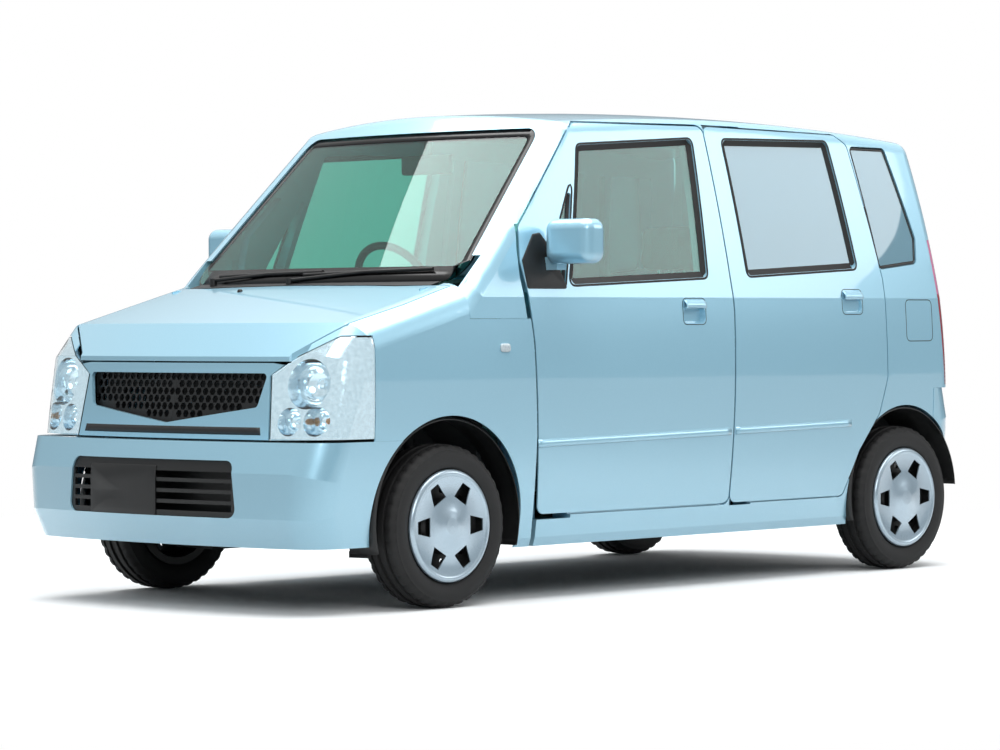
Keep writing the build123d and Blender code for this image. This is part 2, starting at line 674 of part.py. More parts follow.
quarter_pane = (CABIN_SKIN & side_prism(QUARTER_GLASS, WINDOW_R, grow=-GLASS_CLEAR)) - CABIN_GLASS_OUT
with BuildPart() as quarter_glass:
    add(quarter_pane)
    add(mirrored(quarter_pane))
export(quarter_glass, "quarter_glass")

# Tailgate
with BuildPart() as tailgate:
    add((CABIN_SKIN & front_prism_inset(TAILGATE, TAILGATE_AXIS_Y + 20, 1800, 0, INNER_INSET)) - CABIN_DOOR)
    add((CABIN & tailgate_zone) - CABIN_SKIN)
    add(front_prism(TAILGATE_GLASS, 1300, 1800, TAILGATE_GLASS_R), mode=Mode.SUBTRACT)
    for x in TAILGATE_HINGE_X:
        add(bar_x(TAILGATE_AXIS_Y, TAILGATE_AXIS_Z, HINGE_KNUCKLE_R, x - HINGE_KNUCKLE_H / 2,
                  x + HINGE_KNUCKLE_H / 2))
        add(block(x - HINGE_KNUCKLE_H / 2, x + HINGE_KNUCKLE_H / 2, TAILGATE_AXIS_Y, TAILGATE_AXIS_Y + 50,
                  TAILGATE_AXIS_Z - HINGE_KNUCKLE_R - 4, TAILGATE_AXIS_Z))
        add(bar_x(TAILGATE_AXIS_Y, TAILGATE_AXIS_Z, HINGE_PIN_R + PIN_CLEAR, x - 60, x + 60),
            mode=Mode.SUBTRACT)
export(tailgate, "tailgate")

with BuildPart() as tailgate_glass:
    add(CABIN_SKIN & front_prism_inset(TAILGATE_GLASS, 1300, 1800, TAILGATE_GLASS_R, GLASS_CLEAR))
    add(CABIN_GLASS_OUT, mode=Mode.SUBTRACT)
export(tailgate_glass, "tailgate_glass")

# Tail lamps, in pockets on the rear corners
tail_lamp = (CABIN & side_prism(TAIL_LAMP_SIDE, 0, TAIL_LAMP_INNER_X + LAMP_CLEAR, grow=-LAMP_CLEAR)) - CABIN_LAMP
with BuildPart() as tail_lamps:
    add(tail_lamp)
    add(mirrored(tail_lamp))
export(tail_lamps, "tail_lamps")

# Hood, a layer of the nose form, with hinge arms at its rear corners
hood_zone = top_prism(HOOD, 740, 1200) - block(-900, 900, -1800, -1300, 0, HOOD_LIP_Z)
hood_gap_zone = top_prism(HOOD, 700, 1300, SHUT_GAP)
hood_gap_zone -= block(-900, 900, -1800, -1300, 0, HOOD_LIP_Z - SHUT_GAP)
with BuildPart() as hood:
    add((NOSE & hood_zone) - NOSE_HOOD)
    for side in (-1, 1):
        x = side * HOOD_HINGE_X
        add(side_prism([(-1060, 985), (-1060, 1012), (-1040, 1016), (HOOD_AXIS_Y, HOOD_AXIS_Z + 8),
                        (HOOD_AXIS_Y, HOOD_AXIS_Z - 8), (-1000, 990)], 0, x - 3, x + 3))
        add(bar_x(HOOD_AXIS_Y, HOOD_AXIS_Z, HINGE_KNUCKLE_R, x - 3, x + 3))
        add(bar_x(HOOD_AXIS_Y, HOOD_AXIS_Z, HINGE_PIN_R + PIN_CLEAR, x - 60, x + 60), mode=Mode.SUBTRACT)
export(hood, "hood")

# Headlamps behind clear covers
lamp_prism = front_prism(HEADLAMP, -1700, LAMP_END_Y)
lamp_room = front_prism_inset(HEADLAMP, -1700, LAMP_END_Y + LAMP_GAP, 0, -LAMP_GAP)
lamp_room += block(300, 900, -1700, LAMP_END_Y + LAMP_GAP, 400, 560)
headlamp_cover = ((NOSE & lamp_prism) - NOSE_SKIN) - hood_gap_zone
with BuildPart() as headlamp_covers:
    add(headlamp_cover)
    add(mirrored(headlamp_cover))
export(headlamp_covers, "headlamp_covers")

# Front fenders, thin sheets round the front wheels
fender = (NOSE & block(560, 900, -1700, -560, 150, 1300)) - NOSE_SKIN
with BuildPart() as fender_left:
    add(fender)
    add(hood_gap_zone, mode=Mode.SUBTRACT)
    add(lamp_room, mode=Mode.SUBTRACT)
    add(front_arch, mode=Mode.SUBTRACT)
    add(front_door_gap, mode=Mode.SUBTRACT)
    add(block(300, 900, -1800, FRONT_AXLE_Y, 0, BUMPER_TOP_Z + SEAT_CLEAR), mode=Mode.SUBTRACT)
    add(block(300, 900, FRONT_AXLE_Y, -500, 0, SILL_Z + 16), mode=Mode.SUBTRACT)
    add(block(300, 900, -660, -500, 0, 1300), mode=Mode.SUBTRACT)
    add(block(300, 900, FENDER_END_Y, -500, FENDER_TOP_Z, 1300), mode=Mode.SUBTRACT)
    add(block(300, 612, -1010, -900, 900, 1300), mode=Mode.SUBTRACT)
with BuildPart() as front_fenders:
    add(fender_left.part)
    add(mirrored(fender_left.part))
export(front_fenders, "front_fenders")

# Front bumper, a thin moulding with a low intake
bumper_mouth = front_prism(MOUTH, -1800, -1500, MOUTH_R)
with BuildPart() as front_bumper:
    add(bumper_form(0, FRONT_BUMPER, BOW_Y, -1240))
    add(bumper_form(BUMPER_WALL, FRONT_BUMPER, BOW_Y, -1200), mode=Mode.SUBTRACT)
    for side in (-1, 1):
        add(bar_x(FRONT_AXLE_Y, ARCH_Z, ARCH_F_R, side * 500, side * 900), mode=Mode.SUBTRACT)
    add(bumper_mouth, mode=Mode.SUBTRACT)
    for z in (190, BUMPER_TOP_Z - 20):
        add(block(-640, 640, -1560, -1190, z, z + 40), mode=Mode.SUBTRACT)
export(front_bumper, "front_bumper")

# Rear bumper
with BuildPart() as rear_bumper:
    add(bumper_form(0, REAR_BUMPER, -BOW_Y, BUMPER_BACK_Y + SEAT_CLEAR))
    add(bumper_form(BUMPER_WALL, REAR_BUMPER, -BOW_Y, 1400), mode=Mode.SUBTRACT)
    add(block(-560, 560, 1390, 1640, BUMPER_REAR_Z - 20, BUMPER_REAR_Z + 20), mode=Mode.SUBTRACT)
    add(block(-600, 600, 1390, 1640, 220, 260), mode=Mode.SUBTRACT)
    for side in (-1, 1):
        add(bar_x(REAR_AXLE_Y, ARCH_Z, ARCH_R_R, side * 400, side * 900), mode=Mode.SUBTRACT)
export(rear_bumper, "rear_bumper")

# Grille surround between the lamps
with BuildPart() as grille_surround:
    add((NOSE & front_prism(GRILLE_PANEL, -1700, -1400)) - NOSE_GRILLE)
    add(front_prism(GRILLE_OPENING, -1800, -1400, GRILLE_R), mode=Mode.SUBTRACT)
export(grille_surround, "grille_surround")

# Grille mesh of hexagon cells in two flat halves, and the slats of the low intake
mesh_plane = Plane(origin=(0, MESH_Y, MESH_Z), x_dir=(MESH_SPAN, MESH_SWEEP, 0), z_dir=(MESH_SWEEP, -MESH_SPAN, MESH_RAKE))
cell_places = []
for row in range(CELL_ROWS):
    z = MESH_TOP - CELL_FIRST_Z - row * CELL_PITCH_Z
    for column in range(CELL_COLUMNS):
        x = CELL_FIRST_X + (column + row % 2 / 2) * CELL_PITCH_X
        if x < MESH_SPAN - 30 and z > MESH_LOW * (1 - x / MESH_SPAN) + CELL_HIGH / 2 + 4:
            cell_places.append((x, z))
with BuildPart() as mesh_half:
    with BuildSketch(mesh_plane) as outline:
        with BuildLine():
            Polyline((0, MESH_TOP), (MESH_SPAN, MESH_TOP), (MESH_SPAN - 28, -8), (0, MESH_LOW), close=True)
        make_face()
        with Locations(*cell_places):
            RegularPolygon(CELL_HIGH / 2, 6, mode=Mode.SUBTRACT)
    extrude(amount=-MESH_THICK)
    add(block(0, 900, -1800, -1400, 400, 900), mode=Mode.INTERSECT)
with BuildPart() as grilles:
    add(mesh_half.part)
    add(mirrored(mesh_half.part))
    slat_zone = front_prism_inset(MOUTH, -1800, -1500, MOUTH_R, -MESH_LAP)
    add((bumper_form(BUMPER_WALL + SEAT_CLEAR, FRONT_BUMPER, BOW_Y, -1200) & slat_zone)
        - bumper_form(BUMPER_WALL + 10, FRONT_BUMPER, BOW_Y, -1150))
    for z in SLAT_GAPS_Z:
        add(block(-MOUTH_HALF + 24, MOUTH_HALF - 24, -1800, -1600, z, z + SLAT_GAP), mode=Mode.SUBTRACT)
export(grilles, "grilles")

# Headlamp housings with round reflector bowls
housing_zone = front_prism_inset(HEADLAMP, -1700, -1300, 0, LAMP_CLEAR) & top_prism(LAMP_PLAN, 400, 1000)
housing_form = (NOSE_LAMP & housing_zone) - hood_gap_zone
with BuildPart() as housing:
    add(housing_form)
    for bowl_place in REFLECTORS:
        add(lamp_bowl(*bowl_place), mode=Mode.SUBTRACT)
with BuildPart() as headlamp_housings:
    add(housing.part)
    add(mirrored(housing.part))
export(headlamp_housings, "headlamp_housings")

# Floor pan with tunnel, firewall, raised load floor, rear wheelhouses and tail panel
FLOOR_HALF = PILLAR_X - SEAT_CLEAR
with BuildPart() as floor_pan:
    add(block(-FLOOR_HALF, FLOOR_HALF, FIREWALL_Y, RISER_Y + FLOOR_THICK, FLOOR_Z, FLOOR_Z + FLOOR_THICK))
    add(block(-TUNNEL_HALF - 20, TUNNEL_HALF + 20, FIREWALL_Y, RISER_Y, FLOOR_Z, TUNNEL_Z + 20))
    add(block(-FLOOR_HALF, FLOOR_HALF, RISER_Y, RISER_Y + FLOOR_THICK, FLOOR_Z, LOAD_Z + FLOOR_THICK))
    add(block(-LOAD_HALF, LOAD_HALF, RISER_Y, LOAD_NARROW_Y, LOAD_Z, LOAD_Z + FLOOR_THICK))
    add(block(-WHEELHOUSE_X, WHEELHOUSE_X, RISER_Y, TAIL_PANEL_Y, LOAD_Z, LOAD_Z + FLOOR_THICK))
    add(block(-TAIL_HALF, TAIL_HALF, TAIL_PANEL_Y - FLOOR_THICK, TAIL_PANEL_Y, 300, 640))
    add(block(-FLOOR_HALF, FLOOR_HALF, FIREWALL_Y, FIREWALL_Y + FLOOR_THICK, FLOOR_Z, COWL_Z - SEAT_CLEAR))
    for side in (-1, 1):
        x_in = side * WHEELHOUSE_X
        house = bar_x(REAR_AXLE_Y, ARCH_Z, ARCH_R_R + 14, x_in, side * 660)
        house -= bar_x(REAR_AXLE_Y, ARCH_Z, ARCH_R_R + 2, x_in + side * 10, side * 700)
        house &= block(-700, 700, 800, 1700, LOAD_Z, 700)
        add(house & CABIN_FIT)
        toe_shell = bar_x(FRONT_AXLE_Y, WHEEL_R, STEER_ROOM_R + 12, side * (STEER_ROOM_X - 12), side * FLOOR_HALF)
        add(toe_shell & block(-700, 700, FIREWALL_Y, 0, FLOOR_Z, COWL_Z))
        add(bar_x(FRONT_AXLE_Y, WHEEL_R, STEER_ROOM_R, side * STEER_ROOM_X, side * 700), mode=Mode.SUBTRACT)
        add(bar_x(REAR_AXLE_Y, WHEEL_R, WHEEL_R + WHEEL_CLEAR, side * 540, side * 700), mode=Mode.SUBTRACT)
    add(block(-TUNNEL_HALF, TUNNEL_HALF, FIREWALL_Y - 50, RISER_Y + 50, 0, TUNNEL_Z), mode=Mode.SUBTRACT)
export(floor_pan, "floor_pan")

# Front structure: rails, aprons, wheelhouse liners, lamp and radiator frame, cowl beam and hood hinge lugs
with BuildPart() as front_structure:
    add(block(-540, 540, COWL_FRONT_Y, FIREWALL_Y + FLOOR_THICK, COWL_Z, COWL_Z + 60))
    add(block(-RAIL_OUT, RAIL_OUT, RADIATOR_Y, RADIATOR_Y + 30, 320, 760))
    add(block(-RAIL_IN, RAIL_IN, RADIATOR_Y - 5, RADIATOR_Y + 35, 400, 700), mode=Mode.SUBTRACT)
    add(block(-540, 540, RADIATOR_Y, RADIATOR_Y + 30, 500, 540))
    add(block(-480, 480, -1620, -1590, 470, BUMPER_TOP_Z - BUMPER_WALL - SEAT_CLEAR))
    add(block(-20, 20, -1551.4, RADIATOR_Y + 10, 748, 756))
    add(block(-40, 40, -1025, COWL_FRONT_Y + 5, COWL_Z + 40, COWL_Z + 60))
    add(block(-40, 40, -1025, -1021, COWL_Z + 40, 1025.6))
    for side in (-1, 1):
        add(block(side * RAIL_IN, side * RAIL_OUT, RADIATOR_Y, FIREWALL_Y - SEAT_CLEAR, RAIL_Z, RAIL_Z + 100))
        add(block(side * RAIL_IN, side * RAIL_OUT, -1600, RADIATOR_Y + 30, 440, 500))
        add(block(side * (RAIL_OUT - 2), side * (RAIL_OUT + 10), -1300, FIREWALL_Y - SEAT_CLEAR, RAIL_Z, 840))
        liner = bar_x(FRONT_AXLE_Y, ARCH_Z, ARCH_F_R + 9, side * RAIL_OUT, side * 690)
        liner -= bar_x(FRONT_AXLE_Y, ARCH_Z, ARCH_F_R + 4, side * 300, side * 700)
        add(liner & block(-700, 700, -1500, FRONT_AXLE_Y, BUMPER_TOP_Z + 2, 900))
        add(liner & block(-700, 700, FRONT_AXLE_Y, FIREWALL_Y - SEAT_CLEAR, RAIL_Z, 900))
        tower_x = side * (STEER_X + STEER_LEAN * (STRUT_TOP - WHEEL_R))
        add(bar_z(tower_x, FRONT_AXLE_Y, 78, STRUT_TOP - 10, STRUT_TOP + 6))
        add(block(side * RAIL_OUT, tower_x, FRONT_AXLE_Y - 60, FRONT_AXLE_Y + 60, STRUT_TOP - 10, STRUT_TOP + 6))
        spring_x = side * (STEER_X + STEER_LEAN * (ARCH_Z + ARCH_F_R - WHEEL_R))
        add(bar_z(spring_x, FRONT_AXLE_Y, SPRING_R + 12, 560, 660), mode=Mode.SUBTRACT)
        x_pin = side * HOOD_HINGE_X
        add(bar_x(HOOD_AXIS_Y, HOOD_AXIS_Z, HINGE_PIN_R, side * 560, x_pin + side * 10))
        add(block(side * 520, side * 575, HOOD_AXIS_Y - 12, HOOD_AXIS_Y + 12, COWL_Z, HOOD_AXIS_Z + 8))
export(front_structure, "front_structure")

# Cowl grille at the foot of the windscreen
with BuildPart() as cowl_grille:
    add((NOSE & top_prism(COWL, 900, 1300)) - NOSE_SKIN)
    add(CABIN, mode=Mode.SUBTRACT)
export(cowl_grille, "cowl_grille")

# Engine with its gearbox, a plain block on side mounts
with BuildPart() as engine:
    with Locations((0, ENGINE_Y, ENGINE_Z)):
        Box(ENGINE_SIZE[0], ENGINE_SIZE[1], ENGINE_SIZE[2])
    fillet(engine.edges(), 25)
    add(block(-RAIL_IN + SEAT_CLEAR, RAIL_IN - SEAT_CLEAR, ENGINE_Y - 40, ENGINE_Y + 40, RAIL_Z + 20, RAIL_Z + 70))
export(engine, "engine")

# Front suspension: cross-member, lower arms and struts on the leaning steering axes
with BuildPart() as front_suspension:
    add(block(-RAIL_OUT, RAIL_OUT, FRONT_AXLE_Y - 40, FRONT_AXLE_Y + 40, 215, 265))
    for side in (-1, 1):
        add(block(side * RAIL_IN, side * RAIL_OUT, FRONT_AXLE_Y - 40, FRONT_AXLE_Y + 40, 215, RAIL_Z - SEAT_CLEAR))
        ball_x = STEER_X + STEER_LEAN * (BALL_Z - WHEEL_R)
        with BuildPart(mode=Mode.PRIVATE) as arm:
            with BuildSketch(Plane.XY.offset(BALL_Z - 30)):
                with BuildLine():
                    Polyline((330, FRONT_AXLE_Y - 70), (ball_x, FRONT_AXLE_Y - 20), (ball_x, FRONT_AXLE_Y + 20),
                             (330, FRONT_AXLE_Y + 70), close=True)
                make_face()
                with Locations((ball_x, FRONT_AXLE_Y)):
                    Circle(20)
            extrude(amount=22)
        left = arm.part + block(330, 390, FRONT_AXLE_Y - 40, FRONT_AXLE_Y + 40, BALL_Z - 30, 230)
        lean = degrees(atan(STEER_LEAN))
        foot = (STEER_X + STEER_LEAN * (STRUT_FOOT - WHEEL_R), FRONT_AXLE_Y, STRUT_FOOT)
        length = (STRUT_TOP - 14 - STRUT_FOOT) / cos(radians(lean))
        with BuildPart(mode=Mode.PRIVATE) as strut:
            with Locations(Location(foot, (0, lean, 0))):
                Cylinder(20, length - SEAT_CLEAR, align=(Align.CENTER, Align.CENTER, Align.MIN))
            with Locations(Location(foot, (0, lean, 0)) * Location((0, 0, length - 215))):
                Cylinder(SPRING_R, 190, align=(Align.CENTER, Align.CENTER, Align.MIN))
        left += strut.part
        add(left if side > 0 else mirrored(left))
export(front_suspension, "front_suspension")

# Knuckles that turn on the steering axes and carry the front spindles
lean = degrees(atan(STEER_LEAN))
knuckle_foot = BALL_Z - 8 + SEAT_CLEAR + 18 * sin(-radians(lean))
with BuildPart() as knuckle_left:
    foot = (STEER_X + STEER_LEAN * (knuckle_foot - WHEEL_R), FRONT_AXLE_Y, knuckle_foot)
    length = (STRUT_FOOT - SEAT_CLEAR - knuckle_foot) / cos(radians(lean))
    with Locations(Location(foot, (0, lean, 0))):
        Cylinder(18, length, align=(Align.CENTER, Align.CENTER, Align.MIN))
    add(bar_x(FRONT_AXLE_Y, WHEEL_R, 34, STEER_X - 10, FRONT_HALF_TRACK - 30))
    add(bar_x(FRONT_AXLE_Y, WHEEL_R, 84, FRONT_HALF_TRACK - 46, FRONT_HALF_TRACK - 40))
    add(bar_x(FRONT_AXLE_Y, WHEEL_R, SPINDLE_R, STEER_X, FRONT_HALF_TRACK + SPINDLE_OUT))
export(knuckle_left, "knuckle_left")
with BuildPart() as knuckle_right:
    add(mirrored(knuckle_left.part))
export(knuckle_right, "knuckle_right")

# Rear axle: cross beam, trailing arms, dampers and spindles
with BuildPart() as rear_axle:
    add(bar_x(REAR_AXLE_Y, WHEEL_R, 30, -REAR_HALF_TRACK + 50, REAR_HALF_TRACK - 50))
    add(bar_x(REAR_AXLE_Y, WHEEL_R, SPINDLE_R, -REAR_HALF_TRACK - SPINDLE_OUT, REAR_HALF_TRACK + SPINDLE_OUT))
    for side in (-1, 1):
        add(bar_x(REAR_AXLE_Y, WHEEL_R, 105, side * (REAR_HALF_TRACK - 46), side * (REAR_HALF_TRACK - 40)))
        arm_x = side * TRAIL_X
        add(side_prism([(TRAIL_Y, 172), (REAR_AXLE_Y, 236), (REAR_AXLE_Y, 284),
                        (RISER_Y + FLOOR_THICK + 5, FLOOR_Z - SEAT_CLEAR), (TRAIL_Y, FLOOR_Z - SEAT_CLEAR)],
                       0, arm_x - 18, arm_x + 18))
        add(bar_z(arm_x, REAR_AXLE_Y + 20, 26, WHEEL_R, LOAD_Z - SEAT_CLEAR))
export(rear_axle, "rear_axle")

# Wheels, made about the X axis with the outer face towards +X
with BuildPart() as tyre_form:
    with BuildSketch(Plane.XY):
        with BuildLine():
            Polyline((-56, TYRE_BEAD_R), (-60, TYRE_BEAD_R + 12))
            ThreePointArc((-60, TYRE_BEAD_R + 12), (-77.5, 214), (-64, 248))
            ThreePointArc((-64, 248), (-60, 254), (-52, WHEEL_R - 2.5))
            ThreePointArc((-52, WHEEL_R - 2.5), (0, WHEEL_R), (52, WHEEL_R - 2.5))
            ThreePointArc((52, WHEEL_R - 2.5), (60, 254), (64, 248))
            ThreePointArc((64, 248), (77.5, 214), (60, TYRE_BEAD_R + 12))
            Polyline((60, TYRE_BEAD_R + 12), (56, TYRE_BEAD_R), (-56, TYRE_BEAD_R))
        make_face()
    revolve(axis=Axis.X)

with BuildPart() as wheel_form:
    with BuildSketch(Plane.XY):
        with BuildLine():
            Polyline((-56 - 2 * GLASS_CLEAR, 150), (-66, 152), (-66, RIM_LIP_R), (-61, RIM_LIP_R),
                     (-56.5, TYRE_BEAD_R - GLASS_CLEAR), (56.5, TYRE_BEAD_R - GLASS_CLEAR), (61, RIM_LIP_R),
                     (66, RIM_LIP_R), (66, 152), (40, 148), (30, 90), (40, 80), (40, HUB_BORE_R), (-30, HUB_BORE_R),
                     (-30, 52), (22, 52), (22, 92), (30, 142), (-20, 140), close=True)
        make_face()
    revolve(axis=Axis.X)
    with BuildSketch(Plane.YZ):
        with PolarLocations(116, 8):
            Circle(13)
    extrude(amount=60, mode=Mode.SUBTRACT)

with BuildPart() as cover_form:
    with BuildSketch(Plane.XY):
        with BuildLine():
            Polyline((84, 0), (83, 26), (79, 48))
            ThreePointArc((79, 48), (72, 108), (76, COVER_R - 22))
            ThreePointArc((76, COVER_R - 22), (77, COVER_R - 6), (66 + GLASS_CLEAR, COVER_R))
            Polyline((66 + GLASS_CLEAR, COVER_R), (66 + GLASS_CLEAR, COVER_R - 14), (71, COVER_R - 25))
            ThreePointArc((71, COVER_R - 25), (68, 108), (75, 46))
            Polyline((75, 46), (79, 24), (79.5, 0), (84, 0))
        make_face()
    revolve(axis=Axis.X)
    with BuildSketch(Plane.YZ):
        with PolarLocations(118, COVER_WINDOWS):
            Trapezoid(62, 56, 78, rotation=-90)
    extrude(amount=120, mode=Mode.SUBTRACT)

WHEELS = [("front_left", FRONT_HALF_TRACK, FRONT_AXLE_Y), ("front_right", -FRONT_HALF_TRACK, FRONT_AXLE_Y),
          ("rear_left", REAR_HALF_TRACK, REAR_AXLE_Y), ("rear_right", -REAR_HALF_TRACK, REAR_AXLE_Y)]
for corner, x, y in WHEELS:
    for kind, form in (("tyre", tyre_form), ("wheel", wheel_form), ("wheel_cover", cover_form)):
        shape = form.part if x > 0 else mirrored(form.part)
        with BuildPart() as piece:
            add(shape.moved(Location((x, y, WHEEL_R))))
        export(piece, f"{corner}_{kind}")

# Exhaust along the tunnel, with its silencer under the load floor and a tail pipe
with BuildPart() as exhaust:
    with BuildLine() as run:
        FilletPolyline((0, EXHAUST_FRONT_Y, 235), (0, 900, 235), (0, 1080, 336), (0, 1420, 336), radius=60)
    with BuildSketch(Plane.XZ.offset(-EXHAUST_FRONT_Y)):
        with Locations((0, 235)):
            Circle(EXHAUST_R)
    sweep(path=run.line)
    add(bar_x(1470, LOAD_Z - SEAT_CLEAR - 60, 60, -230, 230))
    add(block(-15, 15, 300, 330, 235, TUNNEL_Z - SEAT_CLEAR))
    with BuildLine() as tail:
        FilletPolyline((-180, 1470, 300), (-180, 1550, 214), (-180, 1668, 214), radius=40)
    with BuildSketch(Plane(origin=(-180, 1470, 300), z_dir=(0, 80, -86))):
        Circle(EXHAUST_R - 2)
    sweep(path=tail.line)
export(exhaust, "exhaust")

# Fuel tank under the load floor
with BuildPart() as fuel_tank:
    add(block(70, 415, 935, 1190, 245, LOAD_Z - SEAT_CLEAR))
    fillet(fuel_tank.edges().filter_by(Axis.Z), 40)
    fillet(fuel_tank.faces().sort_by(Axis.Z)[0].edges(), 20)
export(fuel_tank, "fuel_tank")

# Dashboard with the steering column
column_dir = (0, -cos(radians(COLUMN_TILT)), -sin(radians(COLUMN_TILT)))
hub_plane = Plane(origin=(WHEEL_X, WHEEL_Y, WHEEL_Z), x_dir=(1, 0, 0), z_dir=column_dir)
with BuildPart() as dashboard:
    with BuildSketch(Plane.YZ.offset(-DASH_HALF)) as dash_profile:
        with BuildLine():
            Polyline((DASH_Y, 620), (DASH_Y, COWL_Z + 60 + SEAT_CLEAR), (-922, COWL_Z + 60 + SEAT_CLEAR),
                     (-905, 1030), (-560, 1048), (-505, 985), (-525, 860), (-600, 640), close=True)
        make_face()
        fillet([v for v in dash_profile.vertices() if v.X > -620 or v.Y > 1025], 24)
    extrude(amount=2 * DASH_HALF)
    with BuildSketch(hub_plane.offset(14)):
        Circle(24)
    extrude(amount=300)
    with BuildSketch(hub_plane.offset(-20)):
        Circle(9)
    extrude(amount=60)
export(dashboard, "dashboard")

# Steering wheel
with BuildPart() as steering_wheel:
    with BuildSketch(Plane(origin=hub_plane.origin, x_dir=(1, 0, 0), z_dir=hub_plane.y_dir)):
        with Locations((RIM_RING_R, 0)):
            Circle(14)
    revolve(axis=Axis(hub_plane.origin, hub_plane.z_dir))
    with BuildSketch(hub_plane.offset(-14)):
        Circle(62)
        Rectangle(2 * RIM_RING_R, 34)
        with Locations((0, RIM_RING_R / 2 if hub_plane.y_dir.Z < 0 else -RIM_RING_R / 2)):
            Rectangle(40, RIM_RING_R)
    extrude(amount=28 - GLASS_CLEAR)
    with BuildSketch(hub_plane.offset(-60)):
        Circle(9 + GLASS_CLEAR)
    extrude(amount=120, mode=Mode.SUBTRACT)
export(steering_wheel, "steering_wheel")

# Seats
def seat(x, half, y, back_y, lift):
    """A seat with base, cushion, leaning back and head restraints."""
    with BuildPart() as whole:
        with BuildSketch(Plane.YZ.offset(x - half)) as side_view:
            with BuildLine():
                Polyline((y, lift), (y - 10, lift + 130), (y + 40, lift + 160), (back_y - 20, lift + 120),
                         (back_y + 130, lift + 660), (back_y + 215, lift + 660), (back_y + 120, lift + 60),
                         (back_y + 60, lift), close=True)
            make_face()
            fillet(side_view.vertices(), 22)
        extrude(amount=2 * half)
        fillet(whole.faces().filter_by(Axis.X).edges(), 20)
    return whole.part


def head_rest(x, y, z):
    """A head restraint on two posts."""
    with BuildPart() as rest:
        with Locations((x, y, z)):
            Box(250, 90, 160)
        fillet(rest.edges(), 34)
        for side in (-60, 60):
            add(bar_z(x + side, y, 7, z - 150, z))
    return rest.part


with BuildPart() as front_seats:
    for side in (-1, 1):
        x = side * SEAT_X
        add(seat(x, 235, FRONT_SEAT_Y, FRONT_SEAT_Y + 430, 400))
        add(head_rest(x, FRONT_SEAT_Y + 605, 1160))
        add(block(x - 190, x + 190, FRONT_SEAT_Y + 60, FRONT_SEAT_Y + 440, FLOOR_Z + FLOOR_THICK, 420))
export(front_seats, "front_seats")

with BuildPart() as rear_seat:
    add(seat(0, 560, REAR_SEAT_Y, REAR_SEAT_Y + 400, 430 + SEAT_CLEAR))
    for x in (-280, 280):
        add(head_rest(x, REAR_SEAT_Y + 575, 1190))
    add(block(-500, 500, REAR_SEAT_Y + 60, RISER_Y - SEAT_CLEAR, FLOOR_Z + FLOOR_THICK, 460))
    add(block(-TUNNEL_HALF - 24, TUNNEL_HALF + 24, REAR_SEAT_Y, RISER_Y, FLOOR_Z, TUNNEL_Z + 24), mode=Mode.SUBTRACT)
    for side in (-1, 1):
        add(bar_x(REAR_AXLE_Y, ARCH_Z, ARCH_R_R + 18, side * (WHEELHOUSE_X - 4), side * 700), mode=Mode.SUBTRACT)
export(rear_seat, "rear_seat")

# Door mirrors
with BuildPart() as door_mirror_left:
    with Locations((MIRROR_X, MIRROR_Y, MIRROR_Z)):
        Box(200, 100, 146)
    fillet(door_mirror_left.edges(), 36)
    add(block(680, MIRROR_X - 60, MIRROR_Y - 22, MIRROR_Y + 22, MIRROR_Z - 92, MIRROR_Z - 50))
    add(CABIN_CLEAR & block(500, 900, -700, -400, 900, 1300), mode=Mode.SUBTRACT)
export(door_mirror_left, "door_mirror_left")
with BuildPart() as door_mirror_right:
    add(mirrored(door_mirror_left.part))
export(door_mirror_right, "door_mirror_right")

# Cabin mirror on a stem from the roof
with BuildPart() as cabin_mirror:
    with Locations((0, -425, 1440)):
        Box(230, 28, 66)
    fillet(cabin_mirror.edges(), 10)
    with Locations((0, -420, 1500)):
        Box(24, 16, 160)
    add(CABIN_FIT, mode=Mode.INTERSECT)
export(cabin_mirror, "cabin_mirror")


def on_screen(x, z, lift):
    """A point over the windscreen's outer face."""
    y_mid = SCREEN_FOOT[0] + (z - SCREEN_FOOT[1]) / SCREEN_RISE - lift
    reach = BOW_Y - y_mid
    return (x, BOW_Y - (reach ** 2 - x ** 2) ** 0.5, z + lift)


# Wipers, parked along the foot of the windscreen, on pivots that stand on the cowl
with BuildPart() as wipers:
    for elbow, x_from, x_to, z_from, z_to in WIPERS:
        start = on_screen(x_from, z_from, WIPER_LIFT)
        middle = on_screen((x_from + x_to) / 2, (z_from + z_to) / 2, WIPER_LIFT)
        end = on_screen(x_to, z_to, WIPER_LIFT)
        with BuildLine() as blade:
            ThreePointArc(start, middle, end)
        with BuildSketch(Plane(origin=start, z_dir=blade.line @ 0.02 - blade.line @ 0)):
            Circle(WIPER_R)
        sweep(path=blade.line)
        with BuildLine() as arm:
            Line(elbow, middle)
        with BuildSketch(Plane(origin=elbow, z_dir=arm.line @ 1 - arm.line @ 0)):
            Circle(WIPER_R)
        sweep(path=arm.line)
        add(bar_z(elbow[0], elbow[1], WIPER_POST_R, elbow[2] - 60, elbow[2] + WIPER_R) - NOSE_CLEAR)
export(wipers, "wipers")
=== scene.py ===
import json
import math

import bmesh
import bpy
from mathutils import Matrix, Vector
from mathutils.bvhtree import BVHTree


